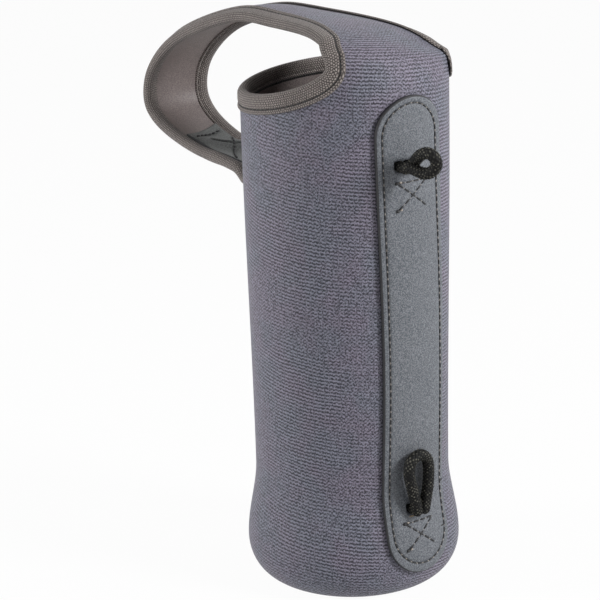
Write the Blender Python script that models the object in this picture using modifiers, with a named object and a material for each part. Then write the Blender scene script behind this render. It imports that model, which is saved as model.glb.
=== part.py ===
"""Vacuum flask case: a foam sheet sleeve whose front wall runs on as the carrying handle.

The origin is the centre of the base, +Z is up, and the leather patch and the root of the
handle face -Y. The handle passes over the mouth and is sewn to the back wall at +Y. The
foam sheet's outside face is the reference surface: tape and leather are set off from it.
"""

import math

import bmesh
import bpy
import numpy as np
from mathutils import Matrix

MM = 0.001

# Sheet materials and the clearance that touching pieces keep
FOAM = 2.5 * MM
TAPE = 0.6 * MM
LEATHER = 1.6 * MM
END_LEATHER = 1.1 * MM
FIT_GAP = 0.3 * MM

# Sleeve, outside face
BASE_RADIUS = 28.0 * MM
BASE_TURN_IN = 2.0 * MM
FLARE_RADIUS = 40.6 * MM
FLARE_HEIGHT = 14.0 * MM
WAIST_RADIUS = 36.8 * MM
WAIST_HEIGHT = 44.0 * MM
MOUTH_RADIUS = 38.2 * MM
SHOULDER_HEIGHT = 180.0 * MM

# Mouth: the sheet's edge is higher on its right, and climbs to the two sides of the neck
RIM_RISE = 9.3 * MM
RIM_HEIGHT = SHOULDER_HEIGHT + RIM_RISE
RIM_TILT = 2.7 * MM
NECK_RISE = 22.5 * MM
NECK_HEIGHT = SHOULDER_HEIGHT + NECK_RISE
NECK_SKEW = 3.0 * MM
NECK_ANGLE = math.radians(46.5)
RIM_POWER = 2.4

# Handle, outside face
HANDLE_RISE = 35.2 * MM
HANDLE_TOP = SHOULDER_HEIGHT + HANDLE_RISE
HANDLE_DROP = 32.0 * MM
HANDLE_END = SHOULDER_HEIGHT - HANDLE_DROP
HANDLE_REACH = 107.6 * MM
HANDLE_HALF_WIDTH = 13.8 * MM
HANDLE_CROWN = 2.4 * MM
FRONT_STRAIGHT = 14.0 * MM
NECK_BLEND = 20.0 * MM
NARROWING = 80.0 * MM
SKEW_FADE = 45.0 * MM
NECK_EASE = 7.0 * MM
NECK_GAP = 0.7 * MM
END_BEND_RADIUS = 5.0 * MM
END_LAP = 8.0 * MM
END_BLEND = 13.0 * MM
# Front of the handle's middle line: shares of the mouth's radius forward, of the loop's rise up
FRONT_SHARES = ((0.934, 0.830), (0.720, 0.917), (0.254, 0.993))
# Back of it: shares of the handle's reach backward, of the loop's rise up
BACK_SHARES = ((0.195, 1.0), (0.452, 0.973), (0.766, 0.804), (0.954, 0.557), (1.0, 0.304))
LAST_SHARES = ((0.909, 0.129), (0.677, 0.013))
# The strap's roll about its line: share of the way from neck to end, and angle
ROLL_SHARES = (0.0, 0.07, 0.27, 0.49, 0.86, 0.96)
ROLL_ANGLES = tuple(math.radians(turn) for turn in (0.0, 9.0, 5.4, -1.5, -9.5, 0.0))

# Folded edge tape: how far its hems lie over the sheet
OUTER_HEM = 5.2 * MM
INNER_HEM = 3.4 * MM
INNER_SLACK = 0.15 * MM
TAPE_JOINT = 14.0 * MM

# Leather patch on the front, and leather patch over the handle's end
PATCH_HALF_WIDTH = 14.3 * MM
PATCH_BOTTOM = 10.5 * MM
PATCH_OVER_SHOULDER = 13.0 * MM
PATCH_TOP = SHOULDER_HEIGHT + PATCH_OVER_SHOULDER
END_PATCH_LENGTH = 67.0 * MM
END_PATCH_MARGIN = 1.0 * MM
# The front patch isn't sewn on quite straight: share of the way up it, and place of its middle to the right
DRIFT_SHARES = (0.1, 0.4, 1.0)
DRIFTS = (-1.0 * MM, 0.0, -2.6 * MM)

# Cord loops and the slits in the patch that they come out of
CORD = 4.5 * MM
STRAND_SPACING = 5.0 * MM
SLIT_CLEARANCE = 0.4 * MM
LOWER_SLIT_INSET = 25.5 * MM
LOWER_SLIT_HEIGHT = PATCH_BOTTOM + LOWER_SLIT_INSET
LOWER_LOOP_LENGTH = 24.5 * MM
LOWER_HALF_WIDTH = 5.2 * MM
LOWER_RISE = math.radians(89.0)
LOWER_TWIST = math.radians(8.0)
LOWER_SWAY = math.radians(10.0)
UPPER_SLIT_INSET = 25.0 * MM
UPPER_SLIT_HEIGHT = PATCH_TOP - UPPER_SLIT_INSET
UPPER_LOOP_LENGTH = 15.5 * MM
UPPER_HALF_WIDTH = 4.4 * MM
UPPER_RISE = math.radians(20.0)
UPPER_TWIST = math.radians(62.0)
UPPER_SWAY = math.radians(15.0)
# Half a loop between its root and its tip: shares of its half width, and of its reach
LOOP_SHARES = ((0.55, 0.25), (0.98, 0.58), (0.86, 0.84))

# Cord tails, pressed flat into the foam behind the patch
TAIL_DROP = 16.0 * MM
TAIL_THICKNESS = 1.4 * MM
TAIL_HALF_WIDTH = 5.2 * MM
POCKET_CLEARANCE = 0.25 * MM

# Rounding of the base disc, and how far cutters run past what they cut
DISC_ROUND = 0.5 * MM
OVERRUN = 1.0 * MM

# Rows of the sheet: turns up the rounded flare, and shares of the way up each stretch above it
FLARE_TURNS = np.radians([0, 22, 43, 62, 78, 90])
WAIST_SHARES = np.array([0.2, 0.4, 0.6, 0.8, 1.0])
SHOULDER_SHARES = np.array([0.25, 0.5, 0.75, 1.0])
RIM_SHARES = (0.35, 0.65, 0.86)

# Turns of the handle's end, and of a cord's rounded end
END_TURNS = np.radians([75, 110, 145, 180])
CORD_END_TURNS = np.radians([78, 58, 35, 12])

# Mesh steps
TONGUE_COLUMNS = 11
SIDE_COLUMNS = 20
SIDE_CROWDING = 1.7
LINE_STEPS = 12
STRAP_STEP = 5.5 * MM
END_STEP = 2.4 * MM
NECK_STEP = 0.8 * MM
FOLD_STEPS = 4
DISC_SEGMENTS = 64

# Base colour, roughness of each material
KNIT = ((0.135, 0.125, 0.165), 0.85)
BINDING = ((0.160, 0.135, 0.125), 0.80)
SLATE_LEATHER = ((0.130, 0.145, 0.165), 0.50)
BLACK_CORD = ((0.018, 0.018, 0.016), 0.75)


def smooth(share):
    """Ease from 0 to 1 with level ends."""
    share = np.clip(share, 0.0, 1.0)
    return share * share * (3 - 2 * share)


def eased(where, stops, values):
    """Values that ease from stop to stop, level at each stop."""
    result = np.full(np.shape(where), float(values[0]))
    for low, high, start, end in zip(stops, stops[1:], values, values[1:]):
        result = result + (end - start) * smooth((where - low) / (high - low))
    return result


def unit(vectors):
    """Each vector divided by its length."""
    return vectors / np.linalg.norm(vectors, axis=-1, keepdims=True)


def smooth_line(points):
    """Catmull-Rom line through the points."""
    points = np.asarray(points, float)
    held = np.vstack([2 * points[0] - points[1], points, 2 * points[-1] - points[-2]])
    t = np.linspace(0, 1, LINE_STEPS, endpoint=False)[:, None]
    runs = []
    for a, b, c, d in zip(held, held[1:], held[2:], held[3:]):
        square = (2 * a - 5 * b + 4 * c - d) * t**2
        cube = (3 * b - a - 3 * c + d) * t**3
        runs.append((2 * b + (c - a) * t + square + cube) / 2)
    return np.vstack(runs + [points[-1:]])


def lengths_along(line):
    """Distance from the line's start to each of its points."""
    return np.concatenate([[0], np.cumsum(np.linalg.norm(np.diff(line, axis=0), axis=1))])


def sleeve_radius(height):
    """Outside radius: a quarter ellipse up to the flare, eased in to the waist, opening to the mouth."""
    height = np.asarray(height, float)
    foot = BASE_RADIUS + BASE_TURN_IN
    climb = np.clip(height / FLARE_HEIGHT, 0, 1)
    bottom = foot + (FLARE_RADIUS - foot) * np.sqrt(1 - (1 - climb) ** 2)
    draw_in = smooth((height - FLARE_HEIGHT) / (WAIST_HEIGHT - FLARE_HEIGHT))
    middle = FLARE_RADIUS + (WAIST_RADIUS - FLARE_RADIUS) * draw_in
    opening = smooth((height - WAIST_HEIGHT) / (SHOULDER_HEIGHT - WAIST_HEIGHT))
    top = WAIST_RADIUS + (MOUTH_RADIUS - WAIST_RADIUS) * opening
    return np.where(height < FLARE_HEIGHT, bottom, np.where(height < WAIST_HEIGHT, middle, top))


def turned_point(angle, radius, height):
    """Point at this radius and height, with the angle measured from the front towards +X."""
    return np.stack(np.broadcast_arrays(radius * np.sin(angle), -radius * np.cos(angle), height), axis=-1)


def patch_turn(height):
    """Angle of the front patch's middle line at this height."""
    climb = (height - PATCH_BOTTOM) / (PATCH_TOP - PATCH_BOTTOM)
    return eased(climb, DRIFT_SHARES, DRIFTS) / sleeve_radius(height)


def rim_height(angle):
    """Height of the sheet's edge at the mouth: a superellipse that stands upright at the neck."""
    share = np.clip((math.pi - np.abs(angle)) / (math.pi - NECK_ANGLE), 0, 1)
    neck = NECK_HEIGHT - np.sign(angle) * NECK_SKEW
    level = RIM_HEIGHT + RIM_TILT * np.sin(angle)
    return level + (neck - level) * (1 - np.sqrt(1 - share**RIM_POWER))


def lap_radius():
    """Radius of the strap's outside face where its end lies along the back wall, over the edge tape."""
    return float(sleeve_radius(HANDLE_END + END_BEND_RADIUS)) + TAPE + 2 * FIT_GAP


def handle_line():
    """The handle's middle line as (Y, Z) points from the shoulder, over the mouth, to its sewn end.

    The last stretch is an arc that turns the strap up the back wall, and a straight lap on it.
    """
    rise = HANDLE_TOP - HANDLE_END
    points = [(-MOUTH_RADIUS, SHOULDER_HEIGHT + FRONT_STRAIGHT * share) for share in (0, 0.5, 1)]
    points += [(-MOUTH_RADIUS * y, HANDLE_END + rise * z) for y, z in FRONT_SHARES]
    points += [(HANDLE_REACH * y, HANDLE_END + rise * z) for y, z in BACK_SHARES + LAST_SHARES]
    centre_y = lap_radius() + END_BEND_RADIUS
    centre_z = HANDLE_END + END_BEND_RADIUS
    for turn in END_TURNS:
        out, down = math.cos(turn), math.sin(turn)
        points.append((centre_y + END_BEND_RADIUS * out, centre_z - END_BEND_RADIUS * down))
    points += [(lap_radius(), centre_z + END_LAP * share) for share in (0.5, 1)]
    return smooth_line(points)


LINE = handle_line()
LINE_LENGTHS = lengths_along(LINE)
LINE_TANGENTS = unit(np.gradient(LINE, axis=0))
HANDLE_LENGTH = float(LINE_LENGTHS[-1])
# The neck is at the line's first shared point, past the three points of its straight foot
NECK_LENGTH = float(LINE_LENGTHS[3 * LINE_STEPS])


def along_line(values, lengths):
    """Values held at the line's points, read at these lengths along it."""
    return np.stack([np.interp(lengths, LINE_LENGTHS, column) for column in values.T], axis=-1)


def handle_points(lengths, across):
    """Outside face of tongue and strap: a row for each length, a column for each share across.

    Each section is an arc from edge to edge through the middle line. Up to the neck the two
    edges stay on the turned wall. Past it the arc flattens and narrows, rolls about the line,
    and at the sewn end bows the other way to fit round the back wall.
    """
    lengths = np.asarray(lengths, float)[:, None]
    across = np.asarray(across, float)[None, :]
    line = along_line(LINE, lengths[:, 0])[:, None, :]
    tangent = unit(along_line(LINE_TANGENTS, lengths[:, 0]))[:, None, :]
    inward = np.stack([tangent[..., 1], -tangent[..., 0]], axis=-1)
    climb = np.clip(lengths / NECK_LENGTH, 0, 1)
    past = np.clip(lengths - NECK_LENGTH, 0, None)
    neck_half = MOUTH_RADIUS * math.sin(NECK_ANGLE)
    edge_y = -MOUTH_RADIUS * math.cos(NECK_ANGLE) - line[..., 0]
    edge_z = SHOULDER_HEIGHT + (NECK_HEIGHT - SHOULDER_HEIGHT) * climb - line[..., 1]
    edge = np.stack([edge_y, edge_z], axis=-1)
    neck_corner = np.array([[-MOUTH_RADIUS * math.cos(NECK_ANGLE), NECK_HEIGHT]])
    at_neck = neck_corner - along_line(LINE, [NECK_LENGTH])
    sag = lap_radius() - math.sqrt(lap_radius() ** 2 - HANDLE_HALF_WIDTH**2)
    end_share = smooth((lengths - (HANDLE_LENGTH - END_LAP - END_BLEND)) / END_BLEND)
    bow = HANDLE_CROWN * (1 - end_share) - sag * end_share
    turned = smooth(past / NECK_BLEND)[..., None]
    # Past the neck the edges go on in the direction that they had, and come round to the line's
    climb_rate = (NECK_HEIGHT - SHOULDER_HEIGHT) / NECK_LENGTH
    onward = np.array([0.0, climb_rate]) - along_line(LINE_TANGENTS, [NECK_LENGTH])
    carried = past * (1 - np.clip(past / NECK_EASE, 0, 1)) ** 2
    settled = (1 - turned) * at_neck + turned * inward * bow[..., None] + onward * carried[..., None]
    edge = np.where(past[..., None] > 0, settled, edge)
    half = neck_half - (neck_half - HANDLE_HALF_WIDTH) * smooth(past / NARROWING) ** 0.8
    skew = NECK_SKEW * np.where(past > 0, 1 - smooth(past / SKEW_FADE), climb)
    upright = unit((1 - turned) * np.array([0.0, 1.0]) + turned * tangent)
    roll = eased(past / (HANDLE_LENGTH - NECK_LENGTH), ROLL_SHARES, ROLL_ANGLES)
    angle = across * NECK_ANGLE
    flat_share = np.sin(angle) / math.sin(NECK_ANGLE)
    arc_share = (1 - np.cos(angle)) / (1 - math.cos(NECK_ANGLE))
    sideways = half * flat_share
    place = line + edge * arc_share[..., None]
    place = place + inward * (np.sin(roll) * sideways)[..., None]
    place = place - upright * (skew * flat_share)[..., None]
    return np.concatenate([(sideways * np.cos(roll))[..., None], place], axis=-1)


def front_points(angle, height):
    """Outside face of the sheet near the front: the turned wall, and the tongue above the shoulder."""
    low = turned_point(angle, sleeve_radius(height), height)
    above = handle_points(np.clip(height[:, 0] - SHOULDER_HEIGHT, 0, None), np.array([0.0]))
    lean = above[:, :, 1] + MOUTH_RADIUS
    low[..., 1] += np.where(height > SHOULDER_HEIGHT, lean, 0)
    return low


def offsets(rows):
    """For each point of a grid, the way out that keeps an offset face parallel to the faces around the point."""
    falling = rows[1:, :-1] - rows[:-1, 1:]
    rising = rows[1:, 1:] - rows[:-1, :-1]
    faces = unit(np.cross(rising, falling))
    around = np.pad(faces, ((1, 1), (1, 1), (0, 0)))
    total = around[1:, 1:] + around[1:, :-1] + around[:-1, 1:] + around[:-1, :-1]
    count = np.pad(np.ones(faces.shape[:2]), 1)
    count = count[1:, 1:] + count[1:, :-1] + count[:-1, 1:] + count[:-1, :-1]
    mean = total / count[..., None]
    return mean / np.sum(mean * mean, axis=-1, keepdims=True)


def grid_mesh(name, rows, closed=False):
    """Open surface through a grid of points, a face between each four. A closed grid joins last column to first."""
    count, width = rows.shape[:2]
    bm = bmesh.new()
    verts = [[bm.verts.new(point) for point in row] for row in rows]
    for i in range(count - 1):
        for j in range(width if closed else width - 1):
            k = (j + 1) % width
            bm.faces.new((verts[i][j], verts[i][k], verts[i + 1][k], verts[i + 1][j]))
    bmesh.ops.remove_doubles(bm, verts=bm.verts, dist=FIT_GAP / 100)
    mesh = bpy.data.meshes.new(name)
    bm.to_mesh(mesh)
    bm.free()
    return mesh


def material(name, finish):
    """Principled material with this base colour and roughness."""
    made = bpy.data.materials.new(name)
    made.use_nodes = True
    shader = made.node_tree.nodes["Principled BSDF"]
    shader.inputs["Base Color"].default_value = (*finish[0], 1)
    shader.inputs["Roughness"].default_value = finish[1]
    made.diffuse_color = (*finish[0], 1)
    return made


def add_part(name, data, finish, collection, parent=None):
    """New object of the case, smooth on its round faces."""
    part = bpy.data.objects.new(name, data)
    part.data.materials.append(material(name, finish))
    if part.type == "MESH":
        part.data.shade_smooth()
        part.data.set_sharp_from_angle(angle=math.radians(40))
    collection.objects.link(part)
    if parent:
        part.parent = parent
    return part


def thicken(part, thickness):
    """Solidify along the faces' normals, outwards for a positive thickness and inwards for a negative one."""
    wall = part.modifiers.new("thickness", "SOLIDIFY")
    wall.thickness = abs(thickness)
    wall.offset = math.copysign(1, thickness)
    wall.use_even_offset = True
    return wall


def cut(part, cutter, operation="DIFFERENCE"):
    """Boolean of the part with a hidden helper."""
    change = part.modifiers.new(cutter.name, "BOOLEAN")
    change.operation = operation
    change.object = cutter
    return change


def side_angles():
    """Angles of the wall's columns from the neck round to the back, crowded near the neck."""
    share = np.linspace(0, 1, SIDE_COLUMNS + 1) ** SIDE_CROWDING
    return NECK_ANGLE + (math.pi - NECK_ANGLE) * share


def sleeve_rows():
    """The sheet up to the neck: rows from the base to the mouth, columns round from the middle of the back."""
    sides = side_angles()[1:]
    across = np.linspace(-1, 1, TONGUE_COLUMNS)
    angles = np.concatenate([-sides[::-1], across * NECK_ANGLE, sides[:-1]])
    foot = BASE_RADIUS + BASE_TURN_IN
    radii = [BASE_RADIUS] + list(foot + (FLARE_RADIUS - foot) * np.sin(FLARE_TURNS))
    heights = [0] + list(FLARE_HEIGHT * (1 - np.cos(FLARE_TURNS)))
    draw_in = FLARE_HEIGHT + (WAIST_HEIGHT - FLARE_HEIGHT) * WAIST_SHARES
    opening = WAIST_HEIGHT + (SHOULDER_HEIGHT - WAIST_HEIGHT) * SHOULDER_SHARES
    upper = np.concatenate([draw_in, opening])
    radii = np.concatenate([radii, sleeve_radius(upper)])
    heights = np.concatenate([heights, upper])
    rows = [turned_point(angles, radius, height) for radius, height in zip(radii, heights)]
    tongue = slice(len(sides), len(sides) + TONGUE_COLUMNS)
    climb = rim_height(angles) - SHOULDER_HEIGHT
    end = NECK_LENGTH - NECK_GAP / 2
    for share, short in [(share, 0) for share in RIM_SHARES] + [(1, NECK_STEP), (1, 0)]:
        row = turned_point(angles, MOUTH_RADIUS, SHOULDER_HEIGHT + climb * share - short)
        row[tongue] = handle_points([end * share - short], across)[0]
        rows.append(row)
    return np.array(rows)


def strap_lengths():
    """Lengths of the strap's rows, and the row at which its edge tape has a joint."""
    start = NECK_LENGTH + NECK_GAP / 2
    joint = start + TAPE_JOINT
    bend = HANDLE_LENGTH - END_LAP - END_BEND_RADIUS * math.pi / 2
    near = np.linspace(start + NECK_STEP, joint, round(TAPE_JOINT / END_STEP))
    middle = np.linspace(joint, bend, round((bend - joint) / STRAP_STEP) + 1)[1:]
    end = np.linspace(bend, HANDLE_LENGTH, round((HANDLE_LENGTH - bend) / END_STEP) + 1)[1:]
    return np.concatenate([[start], near, middle, end]), len(near)


def tape_section():
    """Inside face of the folded tape as (out of the sheet's face, past its edge), outer hem first."""
    fold = np.linspace(0, math.pi, FOLD_STEPS + 1)
    radius = FOAM / 2 + FIT_GAP
    section = [(FIT_GAP, -OUTER_HEM)]
    section += [(radius * math.cos(turn) - FOAM / 2, radius * math.sin(turn)) for turn in fold]
    section.append((-FOAM - FIT_GAP - INNER_SLACK, -INNER_HEM))
    return np.array(section)


def drawn_back(run):
    """A run of tape rows with each end half a gap short of the joint."""
    run = run.copy()
    run[0] += unit(run[1] - run[0]) * FIT_GAP / 2
    run[-1] += unit(run[-2] - run[-1]) * FIT_GAP / 2
    return run


def tape_rows(edge, outward):
    """Tape section carried along the sheet's edge, with the sheet on the left of the way along."""
    tangent = unit(np.gradient(edge, lengths_along(edge), axis=0))
    leaving = unit(np.cross(tangent, outward))
    section = tape_section()
    return edge[:, None, :] + outward[:, None, :] * section[:, :1] + leaving[:, None, :] * section[:, 1:]


def wall_pad(name, turn, low, high, half_width, depth):
    """Open surface that follows the wall at this depth: a strip at this angle, between two heights."""
    height = np.linspace(low, high, 7)[:, None]
    across = np.linspace(-half_width, half_width, 5)[None, :]
    angle = turn + across / sleeve_radius(height)
    return grid_mesh(name, turned_point(angle, sleeve_radius(height) - depth, height))


def stadium_rows(half_width, low, high, standoff):
    """Leather patch's back face: a stadium outline wrapped round the front wall."""
    quarter = np.radians(np.linspace(90, 0, 7))
    drop = half_width * (1 - np.sin(quarter))
    straight = np.linspace(0, 1, 13)[1:-1]
    bottom = low + drop
    top = high - drop[::-1]
    heights = np.concatenate([bottom, bottom[-1] + (top[0] - bottom[-1]) * straight, top])
    round_end = half_width * np.cos(quarter)
    halves = np.concatenate([round_end, half_width + 0 * straight, round_end[::-1]])
    height = heights[:, None]
    across = halves[:, None] * np.linspace(-1, 1, 7)[None, :]
    angle = patch_turn(height) + across / sleeve_radius(height)
    points = front_points(angle, height)
    points[..., 0] += standoff * np.sin(angle)
    points[..., 1] -= standoff * np.cos(angle)
    return points


def loop_path(length, ring, twist, sway):
    """Cord loop about its root: across along X, out along -Y. It leaves as two strands, opens, and closes round.

    Returns the points and each one's share of the cord's radius, which rounds the two ends.
    """
    root = STRAND_SPACING / 2
    reach = length - CORD / 2
    swell = [(max(ring * x, root), reach * out) for x, out in LOOP_SHARES]
    side = smooth_line([(root, 0)] + swell + [(0, reach)])[:: LINE_STEPS // 4]
    ends = np.array([(root, -CORD / 2 * math.sin(turn)) for turn in CORD_END_TURNS])
    half = np.vstack([ends, side])
    shares = np.concatenate([np.cos(CORD_END_TURNS), np.ones(len(side))])
    flat = np.vstack([half * (-1, 1), half[-2::-1]])
    shares = np.concatenate([shares, shares[-2::-1]])
    out = np.clip(flat[:, 1], 0, None)
    turn = twist * smooth(out / reach)
    lean = np.tan(sway) * out
    return np.column_stack([flat[:, 0] * np.cos(turn) - lean, -flat[:, 1], flat[:, 0] * np.sin(turn)]), shares


def add_loop(name, slit_height, length, ring, rise, twist, sway, collection):
    """Cord loop on an empty at its root, turned up by its rise. It swings about the empty's X axis."""
    hinge = bpy.data.objects.new(name + "_hinge", None)
    standoff = FIT_GAP + LEATHER + FIT_GAP + CORD / 2
    turn = float(patch_turn(slit_height))
    hinge.location = turned_point(turn, float(sleeve_radius(slit_height)) + standoff, slit_height)
    hinge.rotation_euler = (-rise, 0, turn)
    collection.objects.link(hinge)
    points, shares = loop_path(length, ring, twist, sway)
    curve = bpy.data.curves.new(name, "CURVE")
    curve.dimensions = "3D"
    curve.bevel_depth = CORD / 2
    curve.bevel_resolution = 2
    curve.use_fill_caps = True
    spline = curve.splines.new("POLY")
    spline.points.add(len(points) - 1)
    for knot, point, share in zip(spline.points, points, shares):
        knot.co = (*point, 1)
        knot.radius = share
    return add_part(name, curve, BLACK_CORD, collection, hinge)


def add_tail(name, slit_height, collection, cutters, wall, patch):
    """Flattened end of a cord: it lies in a pocket of the foam and comes out through a slit in the patch."""
    low = slit_height - TAIL_DROP
    high = slit_height + CORD / 2
    depth = FOAM - (FOAM - TAIL_THICKNESS) / 2 - POCKET_CLEARANCE
    pocket_depth = depth + POCKET_CLEARANCE
    margin = POCKET_CLEARANCE
    turn = float(patch_turn(slit_height))
    wide = TAIL_HALF_WIDTH + margin
    pocket_mesh = wall_pad(name + "_pocket", turn, low - margin, high + margin, wide, pocket_depth)
    pocket = bpy.data.objects.new(name + "_pocket", pocket_mesh)
    thicken(pocket, pocket_depth + OVERRUN)
    tail_mesh = wall_pad(name, turn, low, high, TAIL_HALF_WIDTH, depth)
    tail = add_part(name, tail_mesh, BLACK_CORD, collection)
    thicken(tail, TAIL_THICKNESS)
    half_slit = (STRAND_SPACING + CORD) / 2
    face = float(sleeve_radius(slit_height))
    top = FIT_GAP + LEATHER
    stem_start = face - depth + TAIL_THICKNESS / 2
    stem = slab(name + "_stem", half_slit, CORD / 2, stem_start, face + top, slit_height, turn)
    wide, tall = half_slit + SLIT_CLEARANCE, CORD / 2 + SLIT_CLEARANCE
    slit = slab(name + "_slit", wide, tall, face - FOAM, face + top + OVERRUN, slit_height, turn)
    for helper in (pocket, stem, slit):
        helper.hide_render = True
        helper.display_type = "WIRE"
        cutters.objects.link(helper)
    cut(tail, stem, "UNION")
    cut(wall, pocket)
    cut(patch, slit)


def slab(name, half_width, half_height, near, far, height, turn):
    """Block across the wall at this height and angle, from one distance to another out from the axis."""
    bm = bmesh.new()
    bmesh.ops.create_cube(bm, size=1)
    size = (2 * half_width, far - near, 2 * half_height)
    bmesh.ops.scale(bm, vec=size, verts=bm.verts)
    bmesh.ops.translate(bm, vec=(0, -(near + far) / 2, height), verts=bm.verts)
    bmesh.ops.rotate(bm, cent=(0, 0, 0), matrix=Matrix.Rotation(turn, 3, "Z"), verts=bm.verts)
    mesh = bpy.data.meshes.new(name)
    bm.to_mesh(mesh)
    bm.free()
    return bpy.data.objects.new(name, mesh)


def add_disc(collection):
    """Foam disc that closes the bottom, sewn edge to edge to the turned-in wall."""
    bm = bmesh.new()
    widest_step = float(np.diff(side_angles()).max())
    radius = BASE_RADIUS * math.cos(widest_step / 2) - FIT_GAP
    bmesh.ops.create_cone(bm, cap_ends=True, segments=DISC_SEGMENTS, radius1=radius, radius2=radius, depth=FOAM)
    bmesh.ops.translate(bm, vec=(0, 0, FOAM / 2), verts=bm.verts)
    mesh = bpy.data.meshes.new("base_disc")
    bm.to_mesh(mesh)
    bm.free()
    disc = add_part("base_disc", mesh, KNIT, collection)
    edge = disc.modifiers.new("edge", "BEVEL")
    edge.width = DISC_ROUND
    edge.segments = 2
    return disc


def main():
    for old in list(bpy.data.objects):
        bpy.data.objects.remove(old, do_unlink=True)
    case = bpy.data.collections.new("flask_case")
    cutters = bpy.data.collections.new("cutters")
    for collection in (case, cutters):
        bpy.context.scene.collection.children.link(collection)

    rows = sleeve_rows()
    wall = add_part("sleeve_wall", grid_mesh("sleeve_wall", rows, closed=True), KNIT, case)
    thicken(wall, -FOAM)

    lengths, joint_row = strap_lengths()
    strap_grid = handle_points(lengths, np.linspace(-1, 1, TONGUE_COLUMNS))
    strap = add_part("handle_strap", grid_mesh("handle_strap", strap_grid), KNIT, case)
    thicken(strap, -FOAM)

    add_disc(case)

    # The tape follows the sheet's edge: back along the handle's left, round the mouth, out along the right
    strap_out = offsets(strap_grid)
    wall_out = offsets(np.concatenate([rows, rows[:, :1]], axis=1))[-1]
    left = SIDE_COLUMNS
    right = SIDE_COLUMNS + TONGUE_COLUMNS - 1
    round_back = list(range(left - 1, -1, -1)) + list(range(rows.shape[1] - 1, right, -1))
    edge = np.concatenate([strap_grid[:0:-1, 0], rows[-1][round_back], strap_grid[1:, -1]])
    outward = np.concatenate([strap_out[:0:-1, 0], wall_out[round_back], strap_out[1:, -1]])
    tape = tape_rows(edge, outward)
    past_joint = len(lengths) - joint_row
    runs = (tape[:past_joint], tape[past_joint - 1 : 1 - past_joint], tape[-past_joint:])
    for name, run in zip(("handle_tape_left", "rim_tape", "handle_tape_right"), runs):
        part = add_part(name, grid_mesh(name, drawn_back(run)), BINDING, case)
        thicken(part, TAPE)

    patch = add_part(
        "front_patch",
        grid_mesh("front_patch", stadium_rows(PATCH_HALF_WIDTH, PATCH_BOTTOM, PATCH_TOP, FIT_GAP)),
        SLATE_LEATHER,
        case,
    )
    thicken(patch, LEATHER)

    cover_share = (HANDLE_HALF_WIDTH - INNER_HEM - END_PATCH_MARGIN) / HANDLE_HALF_WIDTH
    cover = math.asin(cover_share * math.sin(NECK_ANGLE)) / NECK_ANGLE
    face = handle_points(lengths[lengths > HANDLE_LENGTH - END_PATCH_LENGTH], np.linspace(-cover, cover, 5))
    face = face - offsets(face) * (FOAM + FIT_GAP)
    end_patch = add_part("handle_end_patch", grid_mesh("handle_end_patch", face), SLATE_LEATHER, case)
    thicken(end_patch, -END_LEATHER)

    upper = (UPPER_SLIT_HEIGHT, UPPER_LOOP_LENGTH, UPPER_HALF_WIDTH, UPPER_RISE, UPPER_TWIST, UPPER_SWAY)
    lower = (LOWER_SLIT_HEIGHT, LOWER_LOOP_LENGTH, LOWER_HALF_WIDTH, LOWER_RISE, LOWER_TWIST, LOWER_SWAY)
    add_loop("upper_cord_loop", *upper, case)
    add_loop("lower_cord_loop", *lower, case)
    add_tail("upper_cord_tail", UPPER_SLIT_HEIGHT, case, cutters, wall, patch)
    add_tail("lower_cord_tail", LOWER_SLIT_HEIGHT, case, cutters, wall, patch)


main()
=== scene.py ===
"""The looks of a vacuum flask case: a knit foam sleeve with a bound mouth, an arched handle, a leather patch
and two cord loops. Lengths are in metres, +Z is up, and the patch faces -Y."""

import math

import bmesh
import bpy
import numpy as np
from mathutils import Matrix, Vector


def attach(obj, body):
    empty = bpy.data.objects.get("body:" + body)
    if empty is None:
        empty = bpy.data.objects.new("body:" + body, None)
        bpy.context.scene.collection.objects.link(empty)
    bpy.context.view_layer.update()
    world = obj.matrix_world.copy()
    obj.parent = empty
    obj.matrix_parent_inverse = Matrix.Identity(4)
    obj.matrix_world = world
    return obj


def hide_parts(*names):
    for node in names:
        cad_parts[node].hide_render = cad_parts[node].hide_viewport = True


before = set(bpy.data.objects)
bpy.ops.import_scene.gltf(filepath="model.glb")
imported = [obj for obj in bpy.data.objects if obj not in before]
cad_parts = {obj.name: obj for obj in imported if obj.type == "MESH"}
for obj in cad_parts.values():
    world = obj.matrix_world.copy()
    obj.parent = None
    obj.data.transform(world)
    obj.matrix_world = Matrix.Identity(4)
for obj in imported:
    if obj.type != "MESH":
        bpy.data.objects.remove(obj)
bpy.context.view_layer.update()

MM = 0.001

# Camera: a long lens, a little above the case and to its front left. The case's axis leans
# left in the frame, which is the camera's roll.

VIEW_AZIMUTH = math.radians(-39.0)
VIEW_RISE = math.radians(18.3)
VIEW_ROLL = math.radians(1.6)
VIEW_DISTANCE = 900 * MM
AIM_ACROSS = -18.3 * MM
AIM_HEIGHT = 107.8 * MM
LENS = 144

across = Vector((math.cos(VIEW_AZIMUTH), math.sin(VIEW_AZIMUTH), 0))
away = Vector((-math.sin(VIEW_AZIMUTH), math.cos(VIEW_AZIMUTH), 0))
upright = away * math.sin(VIEW_RISE) + Vector((0, 0, math.cos(VIEW_RISE)))
camera_right = across * math.cos(VIEW_ROLL) - upright * math.sin(VIEW_ROLL)
camera_up = across * math.sin(VIEW_ROLL) + upright * math.cos(VIEW_ROLL)
towards = camera_right.cross(camera_up)
lens = bpy.data.cameras.new("camera")
lens.lens = LENS
lens.clip_start = 10 * MM
camera = bpy.data.objects.new("camera", lens)
turn = Matrix((camera_right, camera_up, towards)).transposed().to_4x4()
aim = across * AIM_ACROSS + Vector((0, 0, AIM_HEIGHT))
camera.matrix_world = Matrix.Translation(aim + towards * VIEW_DISTANCE) @ turn
bpy.context.scene.collection.objects.link(camera)
bpy.context.scene.camera = camera

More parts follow.
